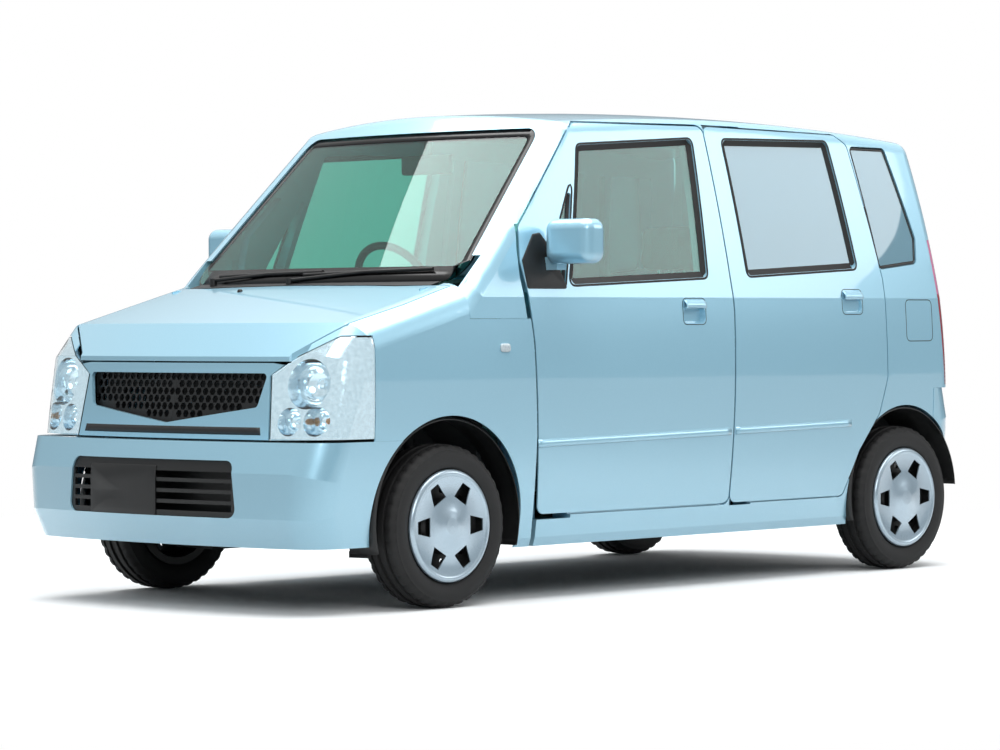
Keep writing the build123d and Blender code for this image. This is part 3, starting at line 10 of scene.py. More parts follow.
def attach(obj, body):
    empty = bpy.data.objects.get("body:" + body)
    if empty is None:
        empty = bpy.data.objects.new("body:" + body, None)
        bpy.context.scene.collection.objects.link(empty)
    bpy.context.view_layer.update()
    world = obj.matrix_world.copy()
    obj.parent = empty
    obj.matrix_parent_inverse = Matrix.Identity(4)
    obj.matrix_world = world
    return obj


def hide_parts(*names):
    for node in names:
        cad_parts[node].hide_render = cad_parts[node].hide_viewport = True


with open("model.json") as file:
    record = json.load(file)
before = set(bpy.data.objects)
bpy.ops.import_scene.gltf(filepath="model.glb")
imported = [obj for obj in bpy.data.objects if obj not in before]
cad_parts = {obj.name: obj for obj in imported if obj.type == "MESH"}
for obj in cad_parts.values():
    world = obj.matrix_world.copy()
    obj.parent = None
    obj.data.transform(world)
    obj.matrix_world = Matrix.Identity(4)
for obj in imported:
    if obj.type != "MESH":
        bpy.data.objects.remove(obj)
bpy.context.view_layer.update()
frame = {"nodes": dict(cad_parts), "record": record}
nodes = frame["nodes"]
MM = 0.001
UP = (0, 0, 1)
FORWARD = (0, -1, 0)
SIDES = {"left": 1, "right": -1}


# Camera at the photograph's viewing angle

CAMERA_PLACE = (8.6878, -9.1350, 0.9020)
CAMERA_YAW = 42.94
CAMERA_PITCH = 0.67
CAMERA_ROLL = -0.262
CAMERA_LENS = 129.3
CAMERA_SENSOR = 36
CAMERA_SHIFT = (-0.053, -0.0104)
CAMERA_FAR = 200


def make_camera():
    """A camera with the photograph's place, aim, lens and framing."""
    yaw, pitch, roll = (math.radians(a) for a in (CAMERA_YAW, CAMERA_PITCH, CAMERA_ROLL))
    look = Vector((-math.sin(yaw) * math.cos(pitch), math.cos(yaw) * math.cos(pitch), -math.sin(pitch)))
    level = Vector((math.cos(yaw), math.sin(yaw), 0))
    rise = level.cross(look)
    right = level * math.cos(roll) + rise * math.sin(roll)
    up = rise * math.cos(roll) - level * math.sin(roll)
    data = bpy.data.cameras.new("photo_camera")
    data.lens = CAMERA_LENS
    data.sensor_width = CAMERA_SENSOR
    data.shift_x, data.shift_y = CAMERA_SHIFT
    data.clip_end = CAMERA_FAR
    camera = bpy.data.objects.new("photo_camera", data)
    camera.matrix_world = Matrix((right, up, -look)).transposed().to_4x4()
    camera.location = CAMERA_PLACE
    bpy.context.collection.objects.link(camera)
    bpy.context.scene.camera = camera


# Ways to make a material

GRAIN_DETAIL = 4.0
GRAIN_RELIEF = 0.6
CLOTH_RELIEF = 0.8
FLUTE_RELIEF = 0.4
FLUTE_MM = 14.28
FLUTE_DEPTH_MM = 0.8
LENS_BLEND = 0.004
GLASS_WAVE_MM = 160.0
GLASS_WAVE_DEPTH_MM = 0.02
GLASS_ROUGH = 0.02
WAVE_BANDS = 20


def linear(hex_colour):
    """An sRGB hex colour as linear RGBA."""
    parts = [int(hex_colour[i:i + 2], 16) / 255 for i in (1, 3, 5)]
    return [c / 12.92 if c <= 0.04045 else ((c + 0.055) / 1.055) ** 2.4 for c in parts] + [1.0]


def wave_scale(period_mm):
    """The scale at which a wave texture's bands repeat over a length."""
    return 1000 * 2 * math.pi / (WAVE_BANDS * period_mm)


def add_node(tree, kind, inputs=None, **settings):
    """Adds one node with its settings, values and links, and gives it back."""
    made = tree.nodes.new(kind)
    for key, value in settings.items():
        setattr(made, key, value)
    for key, value in (inputs or {}).items():
        if isinstance(value, bpy.types.NodeSocket):
            tree.links.new(value, made.inputs[key])
        else:
            made.inputs[key].default_value = value
    return made


def blank_material(name, **sockets):
    """A material with one principled shader and the given constants on its own sockets."""
    made = bpy.data.materials.new(name)
    made.use_nodes = True
    tree = made.node_tree
    tree.nodes.clear()
    values = {key.replace("_", " ").title().replace("Ior", "IOR"): value for key, value in sockets.items()}
    shader = add_node(tree, "ShaderNodeBsdfPrincipled", values)
    add_node(tree, "ShaderNodeOutputMaterial", {"Surface": shader.outputs[0]})
    return made, tree, shader


def two_tones(tree, share, low, high, start=0.3, end=0.7):
    """Goes from one colour to another while a share runs from start to end."""
    span = add_node(tree, "ShaderNodeMapRange", {"Value": share, "From Min": start, "From Max": end})
    return add_node(tree, "ShaderNodeMix", {0: span.outputs["Result"], 6: low, 7: high},
                    data_type="RGBA").outputs[2]


def grained(name, low, high, grain_mm, bump_mm, rough, **sockets):
    """A surface whose colour, gloss and relief vary with one fine grain."""
    made, tree, shader = blank_material(name, **sockets)
    place = add_node(tree, "ShaderNodeTexCoord").outputs["Object"]
    values = {"Vector": place, "Scale": 1000 / grain_mm, "Detail": GRAIN_DETAIL}
    height = add_node(tree, "ShaderNodeTexNoise", values).outputs["Fac"]
    gloss = add_node(tree, "ShaderNodeMapRange", {"Value": height, "To Min": rough[0], "To Max": rough[1]})
    tree.links.new(two_tones(tree, height, linear(low), linear(high)), shader.inputs["Base Color"])
    tree.links.new(gloss.outputs["Result"], shader.inputs["Roughness"])
    if bump_mm:
        values = {"Height": height, "Distance": bump_mm * MM, "Strength": GRAIN_RELIEF}
        relief = add_node(tree, "ShaderNodeBump", values)
        tree.links.new(relief.outputs["Normal"], shader.inputs["Normal"])
    return made


def woven(name, low, high, thread_mm, bump_mm):
    """Cloth with crossing threads."""
    made, tree, shader = blank_material(name, roughness=0.92, sheen_weight=0.35, sheen_roughness=0.5)
    place = add_node(tree, "ShaderNodeTexCoord").outputs["Object"]
    threads = []
    for direction in ("X", "Z"):
        values = {"Vector": place, "Scale": wave_scale(thread_mm), "Distortion": 0.6, "Detail": 1.0}
        threads.append(add_node(tree, "ShaderNodeTexWave", values, bands_direction=direction).outputs["Fac"])
    cross = add_node(tree, "ShaderNodeMath", {0: threads[0], 1: threads[1]}, operation="MULTIPLY").outputs[0]
    tree.links.new(two_tones(tree, cross, linear(low), linear(high), 0.1, 0.8), shader.inputs["Base Color"])
    values = {"Height": cross, "Distance": bump_mm * MM, "Strength": CLOTH_RELIEF}
    relief = add_node(tree, "ShaderNodeBump", values)
    tree.links.new(relief.outputs["Normal"], shader.inputs["Normal"])
    return made


def tail_lens(name, red, pink, split_z):
    """A red moulded lens with a pale upper part and level flutes."""
    made, tree, shader = blank_material(name, roughness=0.1, coat_weight=0.7, coat_roughness=0.03)
    place = add_node(tree, "ShaderNodeTexCoord").outputs["Object"]
    height = add_node(tree, "ShaderNodeSeparateXYZ", {"Vector": place}).outputs["Z"]
    upper = add_node(tree, "ShaderNodeMapRange", {"Value": height, "From Min": split_z - LENS_BLEND,
                                                  "From Max": split_z + LENS_BLEND}).outputs["Result"]
    tree.links.new(two_tones(tree, upper, linear(red), linear(pink)), shader.inputs["Base Color"])
    values = {"Vector": place, "Scale": wave_scale(FLUTE_MM)}
    flutes = add_node(tree, "ShaderNodeTexWave", values, bands_direction="Z").outputs["Fac"]
    values = {"Height": flutes, "Distance": FLUTE_DEPTH_MM * MM, "Strength": FLUTE_RELIEF}
    relief = add_node(tree, "ShaderNodeBump", values)
    tree.links.new(relief.outputs["Normal"], shader.inputs["Normal"])
    return made


def glass(name, tint, clear=1.0):
    """Glass or clear plastic with a body tint and faint unevenness, and a film where it is less clear."""
    return grained(name, tint, tint, GLASS_WAVE_MM, GLASS_WAVE_DEPTH_MM, (0.0, GLASS_ROUGH), ior=1.5,
                   transmission_weight=clear, coat_weight=1.0 - clear, coat_roughness=0.02)


# Materials, by the record's slots

LOOKS = {
    # Metallic paint sprayed under clear lacquer: a silver-blue glow below sharp highlights. Its flakes are
    # drawn at 0.9 mm, coarser than real ones, so that they show
    "body_paint": grained("silver_blue_metallic_clear_coat", "#98CBE0", "#A6D4E8", 0.9, 0.0, (0.26, 0.34),
                          metallic=0.3, coat_weight=1.0, coat_roughness=0.03),
    # Float glass, bent and toughened: clear, with a green cast and slightly wavy reflections
    "green_glass": glass("green_tinted_toughened_glass", "#84CDBF"),
    # Dark tinted glass with a film: a blue-grey pane that hides most of the cabin
    "privacy_glass": glass("blue_grey_privacy_glass", "#86B4C6", 0.35),
    # Injection-moulded polycarbonate: nearly colourless and very glossy
    "clear_cover": glass("clear_moulded_polycarbonate", "#F1FAFD"),
    # Aluminium coated on plastic in a vacuum: a bright mirror with a slight ripple
    "lamp_chrome": grained("vacuum_coated_reflector", "#D6E2E9", "#E6F0F5", 14.0, 0.05, (0.06, 0.16),
                           metallic=1.0),
    # Moulded acrylic: deep red with a pale pink upper part
    "red_lens": tail_lens("red_moulded_lens", "#A80F22", "#E07FA8", 1.0),
    # Polypropylene from a grained mould: black with a soft, broken shine
    "black_plastic": grained("grained_black_polypropylene", "#0A0B0C", "#131516", 1.4, 0.08, (0.42, 0.6)),
    # Woven polyester: matt grey with a soft edge light. Its threads are drawn 6 mm apart, so that they show
    "seat_fabric": woven("woven_grey_seat_cloth", "#4B565C", "#6E7B81", 5.92, 0.35),
    # Sprayed underbody coating: dark, rough and a little lumpy
    "floor_paint": grained("dark_underbody_coat", "#0F1214", "#1B1F22", 6.0, 0.3, (0.6, 0.8)),
    # Cast iron with a black dip coat: dark grey with a faint metal shine
    "chassis_iron": grained("black_coated_cast_iron", "#0F1011", "#1C1D1E", 3.0, 0.2, (0.5, 0.7),
                            metallic=0.3),
    # Drawn steel tube that has been hot: a dull brownish metal
    "exhaust_steel": grained("dull_steel_tube", "#4A4744", "#67625D", 8.0, 0.05, (0.4, 0.6), metallic=1.0),
    # Moulded trim with silver lacquer: paler than the body, with a softer gloss and the same coarse flakes
    "wheel_silver": grained("silver_painted_wheel_trim", "#A3B6C3", "#AFC1CD", 0.9, 0.0, (0.24, 0.32),
                            metallic=0.6, coat_weight=0.8, coat_roughness=0.05),
    # Pressed steel with black paint: half-matt, close to black
    "wheel_steel": grained("black_painted_wheel_steel", "#060708", "#0D0E0F", 2.0, 0.05, (0.4, 0.55)),
    # Vulcanised rubber: black and dull, with a fine mould grain
    "tyre_rubber": grained("moulded_tyre_rubber", "#070708", "#0E0E0F", 2.5, 0.12, (0.62, 0.8)),
}
# Ceramic paint fired on the glass: a smooth black band
FRIT = grained("fired_black_ceramic_border", "#050607", "#090A0B", 1.0, 0.0, (0.2, 0.3))
# Extruded rubber: black, with a dull shine
SEAL = grained("black_rubber_window_seal", "#070808", "#0E0F10", 1.6, 0.06, (0.5, 0.7))
# Shade in the gap round a flap: dark and matt
LINE = grained("dark_panel_groove", "#141B1E", "#1C2427", 2.0, 0.0, (0.6, 0.8))
# Moulded acrylic with ribs inside: pale and sparkling
MARKER = grained("clear_ribbed_marker_lens", "#C4D2D8", "#E4EEF2", 5.0, 0.4, (0.08, 0.2), coat_weight=0.6)
# Dipped bulb glass: a warm orange gloss
AMBER = grained("amber_bulb_glass", "#D9822B", "#E69A48", 6.0, 0.0, (0.05, 0.12), coat_weight=0.5)


# Outlines

CORNER_STEPS = 6
CORNER_SHARE = 0.45


def outline_box(u, v, width, height):
    """A rectangle's corners about a middle point."""
    return [(u - width / 2, v - height / 2), (u + width / 2, v - height / 2),
            (u + width / 2, v + height / 2), (u - width / 2, v + height / 2)]


def rounded(points, radius):
    """A closed outline with its corners rounded."""
    out = []
    count = len(points)
    for i in range(count):
        here = Vector(points[i])
        back = Vector(points[i - 1]) - here
        ahead = Vector(points[(i + 1) % count]) - here
        half = back.angle(ahead) / 2
        reach = min(radius / math.tan(half), back.length * CORNER_SHARE, ahead.length * CORNER_SHARE)
        start = here + back.normalized() * reach
        end = here + ahead.normalized() * reach
        for k in range(CORNER_STEPS + 1):
            t = k / CORNER_STEPS
            out.append((start * (1 - t) ** 2 + here * 2 * t * (1 - t) + end * t ** 2).to_tuple())
    return out


def dense(points, step):
    """A closed outline with points added along its long runs."""
    out = []
    for i, point in enumerate(points):
        here = Vector(point)
        ahead = Vector(points[(i + 1) % len(points)])
        parts = max(1, round((ahead - here).length / step))
        out += [here.lerp(ahead, k / parts).to_tuple() for k in range(parts)]
    return out


def shifted(points, amount):
    """A closed outline moved inward by an even amount, or outward if it is negative."""
    count = len(points)
    area = sum(points[i - 1][0] * points[i][1] - points[i][0] * points[i - 1][1] for i in range(count))
    turn = 1 if area > 0 else -1
    out = []
    for i in range(count):
        ahead = Vector(points[(i + 1) % count]) - Vector(points[i - 1])
        if ahead.length < 1e-6:
            ahead = Vector((1, 0))
        ahead.normalize()
        out.append((points[i][0] - turn * ahead.y * amount, points[i][1] + turn * ahead.x * amount))
    return out


def middle_of(points):
    """The mean of an outline's points."""
    return Vector((sum(p[0] for p in points) / len(points), sum(p[1] for p in points) / len(points)))


# Pieces

def piece(name, mesh, look, body):
    """An object on a body, with its material."""
    made = bpy.data.objects.new(name, mesh)
    bpy.context.collection.objects.link(made)
    made.data.materials.append(look)
    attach(made, body)
    return made


def smooth_mesh(bm, name):
    """Ends a mesh, with every face shaded smooth."""
    mesh = bpy.data.meshes.new(name)
    bm.to_mesh(mesh)
    bm.free()
    mesh.polygons.foreach_set("use_smooth", [True] * len(mesh.polygons))
    return mesh


def bridge(bm, rows, closed=True):
    """Joins each row of points to the next one by faces."""
    for low, high in zip(rows, rows[1:]):
        for i in range(0 if closed else 1, len(low)):
            bm.faces.new((low[i - 1], low[i], high[i], high[i - 1]))


def add_shell(made, thick, offset):
    """Gives a sheet its thickness."""
    shell = made.modifiers.new("shell", "SOLIDIFY")
    shell.thickness = thick * MM
    shell.offset = offset


def add_sharp_edges(made, degrees):
    """Keeps the edges sharp that bend by more than an angle."""
    edge = made.modifiers.new("edge", "EDGE_SPLIT")
    edge.split_angle = math.radians(degrees)


SIDE_START = 2
END_START = 3
AIMS = {
    "left": lambda u, v: (Vector((SIDE_START, u, v)), Vector((-1, 0, 0))),
    "right": lambda u, v: (Vector((-SIDE_START, u, v)), Vector((1, 0, 0))),
    "front": lambda u, v: (Vector((u, -END_START, v)), Vector((0, 1, 0))),
    "rear": lambda u, v: (Vector((u, END_START, v)), Vector((0, -1, 0))),
}
CASTERS = {}
TURNED_SHARP = 40
PATCH_THICK = 2.0
PATCH_CROWN = ((1.0, 0.0), (0.985, 0.55), (0.93, 0.8), (0.7, 0.92), (0.35, 1.0))


def caster(name):
    """A ray caster on one node's own mesh."""
    if name not in CASTERS:
        mesh = nodes[name].data
        mesh.calc_loop_triangles()
        CASTERS[name] = BVHTree.FromPolygons([v.co for v in mesh.vertices],
                                             [t.vertices for t in mesh.loop_triangles])
    return CASTERS[name]


def landed(bm, carrier, view, points, lift):
    """New vertices for points seen from one side, laid on a node's surface and lifted off it."""
    tree = caster(carrier)
    rays = [AIMS[view](u * MM, v * MM) for u, v in points]
    reaches = [tree.ray_cast(start, way)[3] for start, way in rays]
    last = next(r for r in reaches if r is not None)
    out = []
    for (start, way), reach in zip(rays, reaches):
        last = last if reach is None else reach
        out.append(bm.verts.new(start + way * (last - lift * MM)))
    return out


def laid(bm, name, view, look, body, thick):
    """Ends a sheet that lies on the car: faces outward and a thickness below it."""
    bm.normal_update()
    way = AIMS[view](0, 0)[1]
    if sum((f.normal * f.calc_area() for f in bm.faces), Vector()).dot(way) > 0:
        bmesh.ops.reverse_faces(bm, faces=bm.faces)
    made = piece(name, smooth_mesh(bm, name), look, body)
    add_shell(made, thick, -1)
    return made


def draped(name, view, loops, look, body, thick=1.0, filled=False):
    """A thin piece laid on the car: loops of (carrier, outline, lift) from outside to inside."""
    bm = bmesh.new()
    rows = [landed(bm, carrier, view, points, lift) for carrier, points, lift in loops]
    bridge(bm, rows)
    if filled:
        inner = rows[-1]
        centre = bm.verts.new(sum((v.co for v in inner), Vector()) / len(inner))
        for i in range(len(inner)):
            bm.faces.new((inner[i - 1], inner[i], centre))
    return laid(bm, name, view, look, body, thick)


def patch(name, view, carrier, outline, look, body, lift, crown):
    """A filled piece on the car's surface with a gently crowned middle."""
    middle = middle_of(outline)
    loops = []
    for share, rise in PATCH_CROWN:
        points = [tuple(middle.lerp(Vector(p), share)) for p in outline]
        loops.append((carrier, points, lift + crown * rise))
    return draped(name, view, loops, look, body, PATCH_THICK, True)


def strip(name, view, carrier, low, high, profile, look, body, step=25.0, thick=1.0):
    """A long moulding between two edges on the car's surface, with a profile of (share across, lift)."""
    parts = max(2, round((Vector(low[1]) - Vector(low[0])).length / step))
    shares = [k / parts for k in range(parts + 1)]
    edges = [[Vector(start).lerp(Vector(end), along) for along in shares] for start, end in (low, high)]
    bm = bmesh.new()
    rows = []
    for share, lift in profile:
        points = [tuple(a.lerp(b, share)) for a, b in zip(*edges)]
        rows.append(landed(bm, carrier, view, points, lift))
    bridge(bm, rows, False)
    return laid(bm, name, view, look, body, thick)


def turned(name, profile, place, axis, look, body, segments):
    """A turned piece: (radius, distance along its axis) pairs in millimetres."""
    bm = bmesh.new()
    aim = Vector(axis).normalized().to_track_quat("Z", "Y").to_matrix()
    rows = []
    for radius, along in profile:
        row = []
        for k in range(segments):
            angle = 2 * math.pi * k / segments
            local = Vector((radius * math.cos(angle), radius * math.sin(angle), along)) * MM
            row.append(bm.verts.new(Vector(place) * MM + aim @ local))
        rows.append(row)
    bridge(bm, rows)
    for row in (rows[0], rows[-1]):
        bm.faces.new(row)
    bmesh.ops.recalc_face_normals(bm, faces=bm.faces)
    made = piece(name, smooth_mesh(bm, name), look, body)
    add_sharp_edges(made, TURNED_SHARP)
    return made


# Floor, light and background, in metres

FLOOR_HALF = 40
FLOOR_CELLS = 8
FLOOR_DROP = 0.0005
FLOOR_MOTTLE_MM = 166.67
FLOOR_SHADOW_END = 2.6
FLOOR_WHITE_START = 5.0
FLOOR_BOUNCE = "#3C4A52"
SKY_LOW = (0.20, 0.28, 0.33, 1)
WHITE = (1, 1, 1, 1)
SKY_RISE = 0.4
SKY_STRENGTH = 0.7
LAMPS = (
    # Name, place, aim, width and power
    ("overhead", (0, 0, 6.0), (0, 0, 0), 8.0, 640),
    ("front_left", (6.5, -6.0, 4.5), (0.3, -0.4, 0.7), 4.0, 200),
    ("rear_left", (6.0, 6.5, 4.0), (0.3, 0.8, 0.8), 4.0, 120),
)


def seen_by(tree, *rays):
    """One for the named kinds of ray, and zero for the rest."""
    path = add_node(tree, "ShaderNodeLightPath")
    seen = path.outputs[rays[0]]
    for ray in rays[1:]:
        values = {0: seen, 1: path.outputs[ray]}
        seen = add_node(tree, "ShaderNodeMath", values, operation="MAXIMUM").outputs[0]
    return seen


def make_floor():
    """A pale floor that keeps the car's shadow, goes to white further out and throws little light back."""
    bm = bmesh.new()
    bmesh.ops.create_grid(bm, x_segments=FLOOR_CELLS, y_segments=FLOOR_CELLS, size=FLOOR_HALF)
    mesh = bpy.data.meshes.new("studio_floor")
    bm.to_mesh(mesh)
    bm.free()
    floor = bpy.data.objects.new("studio_floor", mesh)
    bpy.context.collection.objects.link(floor)
    floor.location.z = -FLOOR_DROP
    made, tree, shader = blank_material("pale_studio_floor", roughness=0.9, specular_ior_level=0.1)
    place = add_node(tree, "ShaderNodeTexCoord").outputs["Object"]
    far = add_node(tree, "ShaderNodeVectorMath", {0: place}, operation="LENGTH").outputs["Value"]
    far = add_node(tree, "ShaderNodeMapRange", {"Value": far, "From Min": FLOOR_SHADOW_END,
                                                "From Max": FLOOR_WHITE_START}).outputs["Result"]
    values = {"Vector": place, "Scale": 1000 / FLOOR_MOTTLE_MM}
    mottle = add_node(tree, "ShaderNodeTexNoise", values).outputs["Fac"]
    pale = two_tones(tree, mottle, linear("#EEF1F2"), linear("#F2F4F5"))
    direct = seen_by(tree, "Is Camera Ray", "Is Glossy Ray", "Is Transmission Ray")
    tone = add_node(tree, "ShaderNodeMix", {0: direct, 6: linear(FLOOR_BOUNCE), 7: pale}, data_type="RGBA")
    tree.links.new(tone.outputs[2], shader.inputs["Base Color"])
    share = add_node(tree, "ShaderNodeMath", {0: direct, 1: far}, operation="MULTIPLY").outputs[0]
    white = add_node(tree, "ShaderNodeEmission", {"Color": WHITE, "Strength": 1.0})
    mixed = add_node(tree, "ShaderNodeMixShader", {0: share, 1: shader.outputs[0], 2: white.outputs[0]})
    tree.links.new(mixed.outputs[0], tree.nodes["Material Output"].inputs["Surface"])
    floor.data.materials.append(made)


def make_world():
    """A white background, and a soft sky that is darker near the horizon for light and reflections."""
    world = bpy.data.worlds.new("studio")
    bpy.context.scene.world = world
    world.use_nodes = True
    tree = world.node_tree
    tree.nodes.clear()
    direct = seen_by(tree, "Is Camera Ray", "Is Transmission Ray")
    place = add_node(tree, "ShaderNodeTexCoord").outputs["Generated"]
    height = add_node(tree, "ShaderNodeSeparateXYZ", {"Vector": place}).outputs["Z"]
    shade = two_tones(tree, height, SKY_LOW, WHITE, 0.0, SKY_RISE)
    soft = add_node(tree, "ShaderNodeBackground", {"Color": shade, "Strength": SKY_STRENGTH})
    white = add_node(tree, "ShaderNodeBackground", {"Color": WHITE, "Strength": 1.0})
    mixed = add_node(tree, "ShaderNodeMixShader", {0: direct, 1: soft.outputs[0], 2: white.outputs[0]})
    add_node(tree, "ShaderNodeOutputWorld", {"Surface": mixed.outputs[0]})


def make_lamps():
    """Three large round studio lamps."""
    for name, place, aim, width, power in LAMPS:
        data = bpy.data.lights.new(name, "AREA")
        data.shape = "DISK"
        data.size = width
        data.energy = power
        lamp = bpy.data.objects.new(name, data)
        lamp.location = place
        lamp.rotation_euler = (Vector(aim) - Vector(place)).to_track_quat("-Z", "Y").to_euler()
        bpy.context.collection.objects.link(lamp)


# Looks of the CAD nodes

def dress_nodes():
    """Gives every node the material of its slot in the record."""
    for entry in frame["record"]["subparts"]:
        made = nodes[entry["node"]]
        look = LOOKS[entry["material_slot"]]
        if made.material_slots:
            for place in made.material_slots:
                place.material = look
        else:
            made.data.materials.append(look)


# Window borders and seals, in millimetres as seen from the front, the rear or the side

SCREEN_OPENING = [(-645, 1034), (645, 1034), (548, 1548), (-548, 1548)]
SCREEN_CORNER_R = 60
SCREEN_BORDER = 30
SCREEN_BORDER_FOOT = 1086
TAILGATE_GLASS = [(-540, 1085), (540, 1085), (478, 1500), (-478, 1500)]
TAILGATE_CORNER_R = 50
TAILGATE_BORDER = 34
QUARTER_GLASS = [(1184, 1087), (1112, 1535), (1327, 1535), (1431, 1203), (1415, 1110)]
QUARTER_CORNER_R = 22
QUARTER_BORDER = 14
BORDER_GAP = 2
QUARTER_GAP = 1.5
BORDER_LIFT = 0.5
BORDER_THICK = 0.4
QUARTER_LIFT = 0.4
QUARTER_THICK = 0.3
BORDER_STEP = 60
SEAL_STEP = 50
FRONT_DOOR_GLASS = [(-488, 1026), (-358, 1490), (231, 1530), (206, 1055)]
FRONT_LIGHT = [(-618, 1022), (-512, 1026), (-412, 1382)]
REAR_DOOR_GLASS = [(426, 1061), (395, 1533), (984, 1545), (1048, 1092)]
DOOR_SEALS = (
    # Name, door, opening, corner radius and width on the glass
    ("front_window_seal", "front", FRONT_DOOR_GLASS, 22, 20),
    ("rear_window_seal", "rear", REAR_DOOR_GLASS, 22, 20),
    ("corner_light_seal", "front", FRONT_LIGHT, 8, 9),
)
SEAL_ON_DOOR = ((-8, 0.9), (-1.0, 1.4))
SEAL_INSET = 1.2
SEAL_LIFT = 1.0
SEAL_THICK = 0.8


def border(name, view, pane, outer, inner, lift, thick, body):
    """A black ceramic band on a pane, between two outlines."""
    draped(name, view, [(pane, outer, lift), (pane, inner, lift)], FRIT, body, thick)


def make_borders():
    """Black ceramic borders on the fixed glass and rubber seals round the door glass."""
    screen = dense(rounded(SCREEN_OPENING, SCREEN_CORNER_R), BORDER_STEP)
    inner = [(u, max(v, SCREEN_BORDER_FOOT)) for u, v in shifted(screen, SCREEN_BORDER)]
    border("windscreen_border", "front", "windscreen", shifted(screen, BORDER_GAP), inner, BORDER_LIFT,
           BORDER_THICK, "body")
    rear = dense(rounded(TAILGATE_GLASS, TAILGATE_CORNER_R), BORDER_STEP)
    border("tailgate_glass_border", "rear", "tailgate_glass", shifted(rear, BORDER_GAP),
           shifted(rear, TAILGATE_BORDER), BORDER_LIFT, BORDER_THICK, "tailgate")
    quarter = dense(rounded(QUARTER_GLASS, QUARTER_CORNER_R), SEAL_STEP)
    for side in SIDES:
        border(f"quarter_border_{side}", side, "quarter_glass", shifted(quarter, QUARTER_GAP),
               shifted(quarter, QUARTER_BORDER), QUARTER_LIFT, QUARTER_THICK, "body")
        for name, kind, outline, radius, width in DOOR_SEALS:
            door = f"{kind}_door_{side}"
            pane = f"{kind}_glass_{side}"
            edge = dense(rounded(outline, radius), SEAL_STEP)
            loops = [(door, shifted(edge, inset), lift) for inset, lift in SEAL_ON_DOOR]
            loops += [(pane, shifted(edge, inset), SEAL_LIFT) for inset in (SEAL_INSET, width)]
            draped(f"{name}_{side}", side, loops, SEAL, door, SEAL_THICK)


# Small things on the sides

HANDLES = (("front", 123, 950), ("rear", 1000, 983))
HANDLE_RIM = (122, 92)
HANDLE_RIM_DROP = 12
HANDLE_RIM_R = 22
HANDLE_GROOVE = 2.5
HANDLE_HALF = 52
HANDLE_EDGES = (-3, 26)
HANDLE_CROWN = ((0, 1), (0.02, 9), (0.12, 13), (0.4, 14), (0.7, 11), (0.95, 4), (1, 1))
CREASES = (("front_door", (-655, 497), (312, 513)), ("rear_door", (338, 514), (985, 525)))
CREASE_WIDTH = 26
CREASE_CROWN = ((0, 0.3), (0.1, 2.5), (0.3, 4.0), (0.6, 2.6), (1, 0.3))
SIDE_MARKER = (-810, 822, 46, 28)
SIDE_MARKER_R = 14
SAIL_DOOR = [(-703, 1105), (-692, 1012), (-500, 1012), (-530, 1060), (-566, 1150), (-604, 1196), (-640, 1190)]
SAIL_R = 10
FUEL_FLAP = (1398, 904, 163, 153)
FUEL_FLAP_R = 24
FUEL_FLAP_GROOVE = 3
GROOVE_LIFT = 0.3
GROOVE_THICK = 0.2


def groove(name, side, carrier, outline, width, body):
    """A dark line round a flap."""
    draped(name, side, [(carrier, outline, GROOVE_LIFT), (carrier, shifted(outline, width), GROOVE_LIFT)],
           LINE, body, GROOVE_THICK)


def make_handles(side):
    """Flap handles, each in a dark rim."""
    for kind, y, z in HANDLES:
        door = f"{kind}_door_{side}"
        rim = dense(rounded(outline_box(y, z - HANDLE_RIM_DROP, *HANDLE_RIM), HANDLE_RIM_R), 20)
        groove(f"{kind}_handle_rim_{side}", side, door, rim, HANDLE_GROOVE, door)
        low, high = [((y - HANDLE_HALF, z + rise), (y + HANDLE_HALF, z + rise)) for rise in HANDLE_EDGES]
        strip(f"{kind}_handle_flap_{side}", side, door, low, high, HANDLE_CROWN, LOOKS["body_paint"], door,
              step=8.0, thick=3.0)


def make_side_details():
    """Handles, side markers, mirror sails, the doors' creases and the fuel flap."""
    for side in SIDES:
        make_handles(side)
        marker = dense(rounded(outline_box(*SIDE_MARKER), SIDE_MARKER_R), 8)
        patch(f"side_marker_{side}", side, "front_fenders", marker, MARKER, "body",
              lift=0.5, crown=5.0)
        sail = dense(rounded(SAIL_DOOR, SAIL_R), 30)
        patch(f"mirror_sail_{side}", side, f"front_door_{side}", sail, LOOKS["black_plastic"],
              f"front_door_{side}", lift=0.8, crown=3.0)
        for kind, start, end in CREASES:
            upper = tuple((y, z + CREASE_WIDTH) for y, z in (start, end))
            strip(f"{kind}_crease_{side}", side, f"{kind}_{side}", (start, end), upper, CREASE_CROWN,
                  LOOKS["body_paint"], f"{kind}_{side}")
    flap = dense(rounded(outline_box(*FUEL_FLAP), FUEL_FLAP_R), 20)
    groove("fuel_flap_line", "left", "body_side_left", flap, FUEL_FLAP_GROOVE, "body")


# Front and rear details

REFLECTORS = [(585, -1500, 715, 78), (528, -1535, 598, 44), (628, -1505, 600, 46)]
AMBER_BULB = 2
BULB_TIP_R = 3
BULB_DEPTH = 0.78
SLOT_LOW = ((-424, 556), (424, 556))
SLOT_HIGH = ((-418, 580), (418, 580))
SLOT_PROFILE = ((0, 0.4), (0.5, 0.4), (1, 0.4))
FRONT_PLATE = (-120, 378, 330, 160)
FRONT_PLATE_R = 8
GUIDE_LEFT = -470
GUIDE_PITCH = 23.5
GUIDE_COLUMNS = 41
GUIDE_BOW_R = 3388
GUIDE_Y = -1588
GUIDE_LOW = 292
GUIDE_THICK = 2.0
LOUVRE_PITCH = 11
LOUVRE_DEPTH = 5
LOUVRE_ROWS = 17
WASHER_PLACE = (-209, -1100, 1010)
WASHER_PROFILE = ((9, -4), (9, 3), (6, 7), (3, 8))
AERIAL_PLACE = (-470, -330, 1588)
AERIAL_LEAN = (0, -0.5, 1)
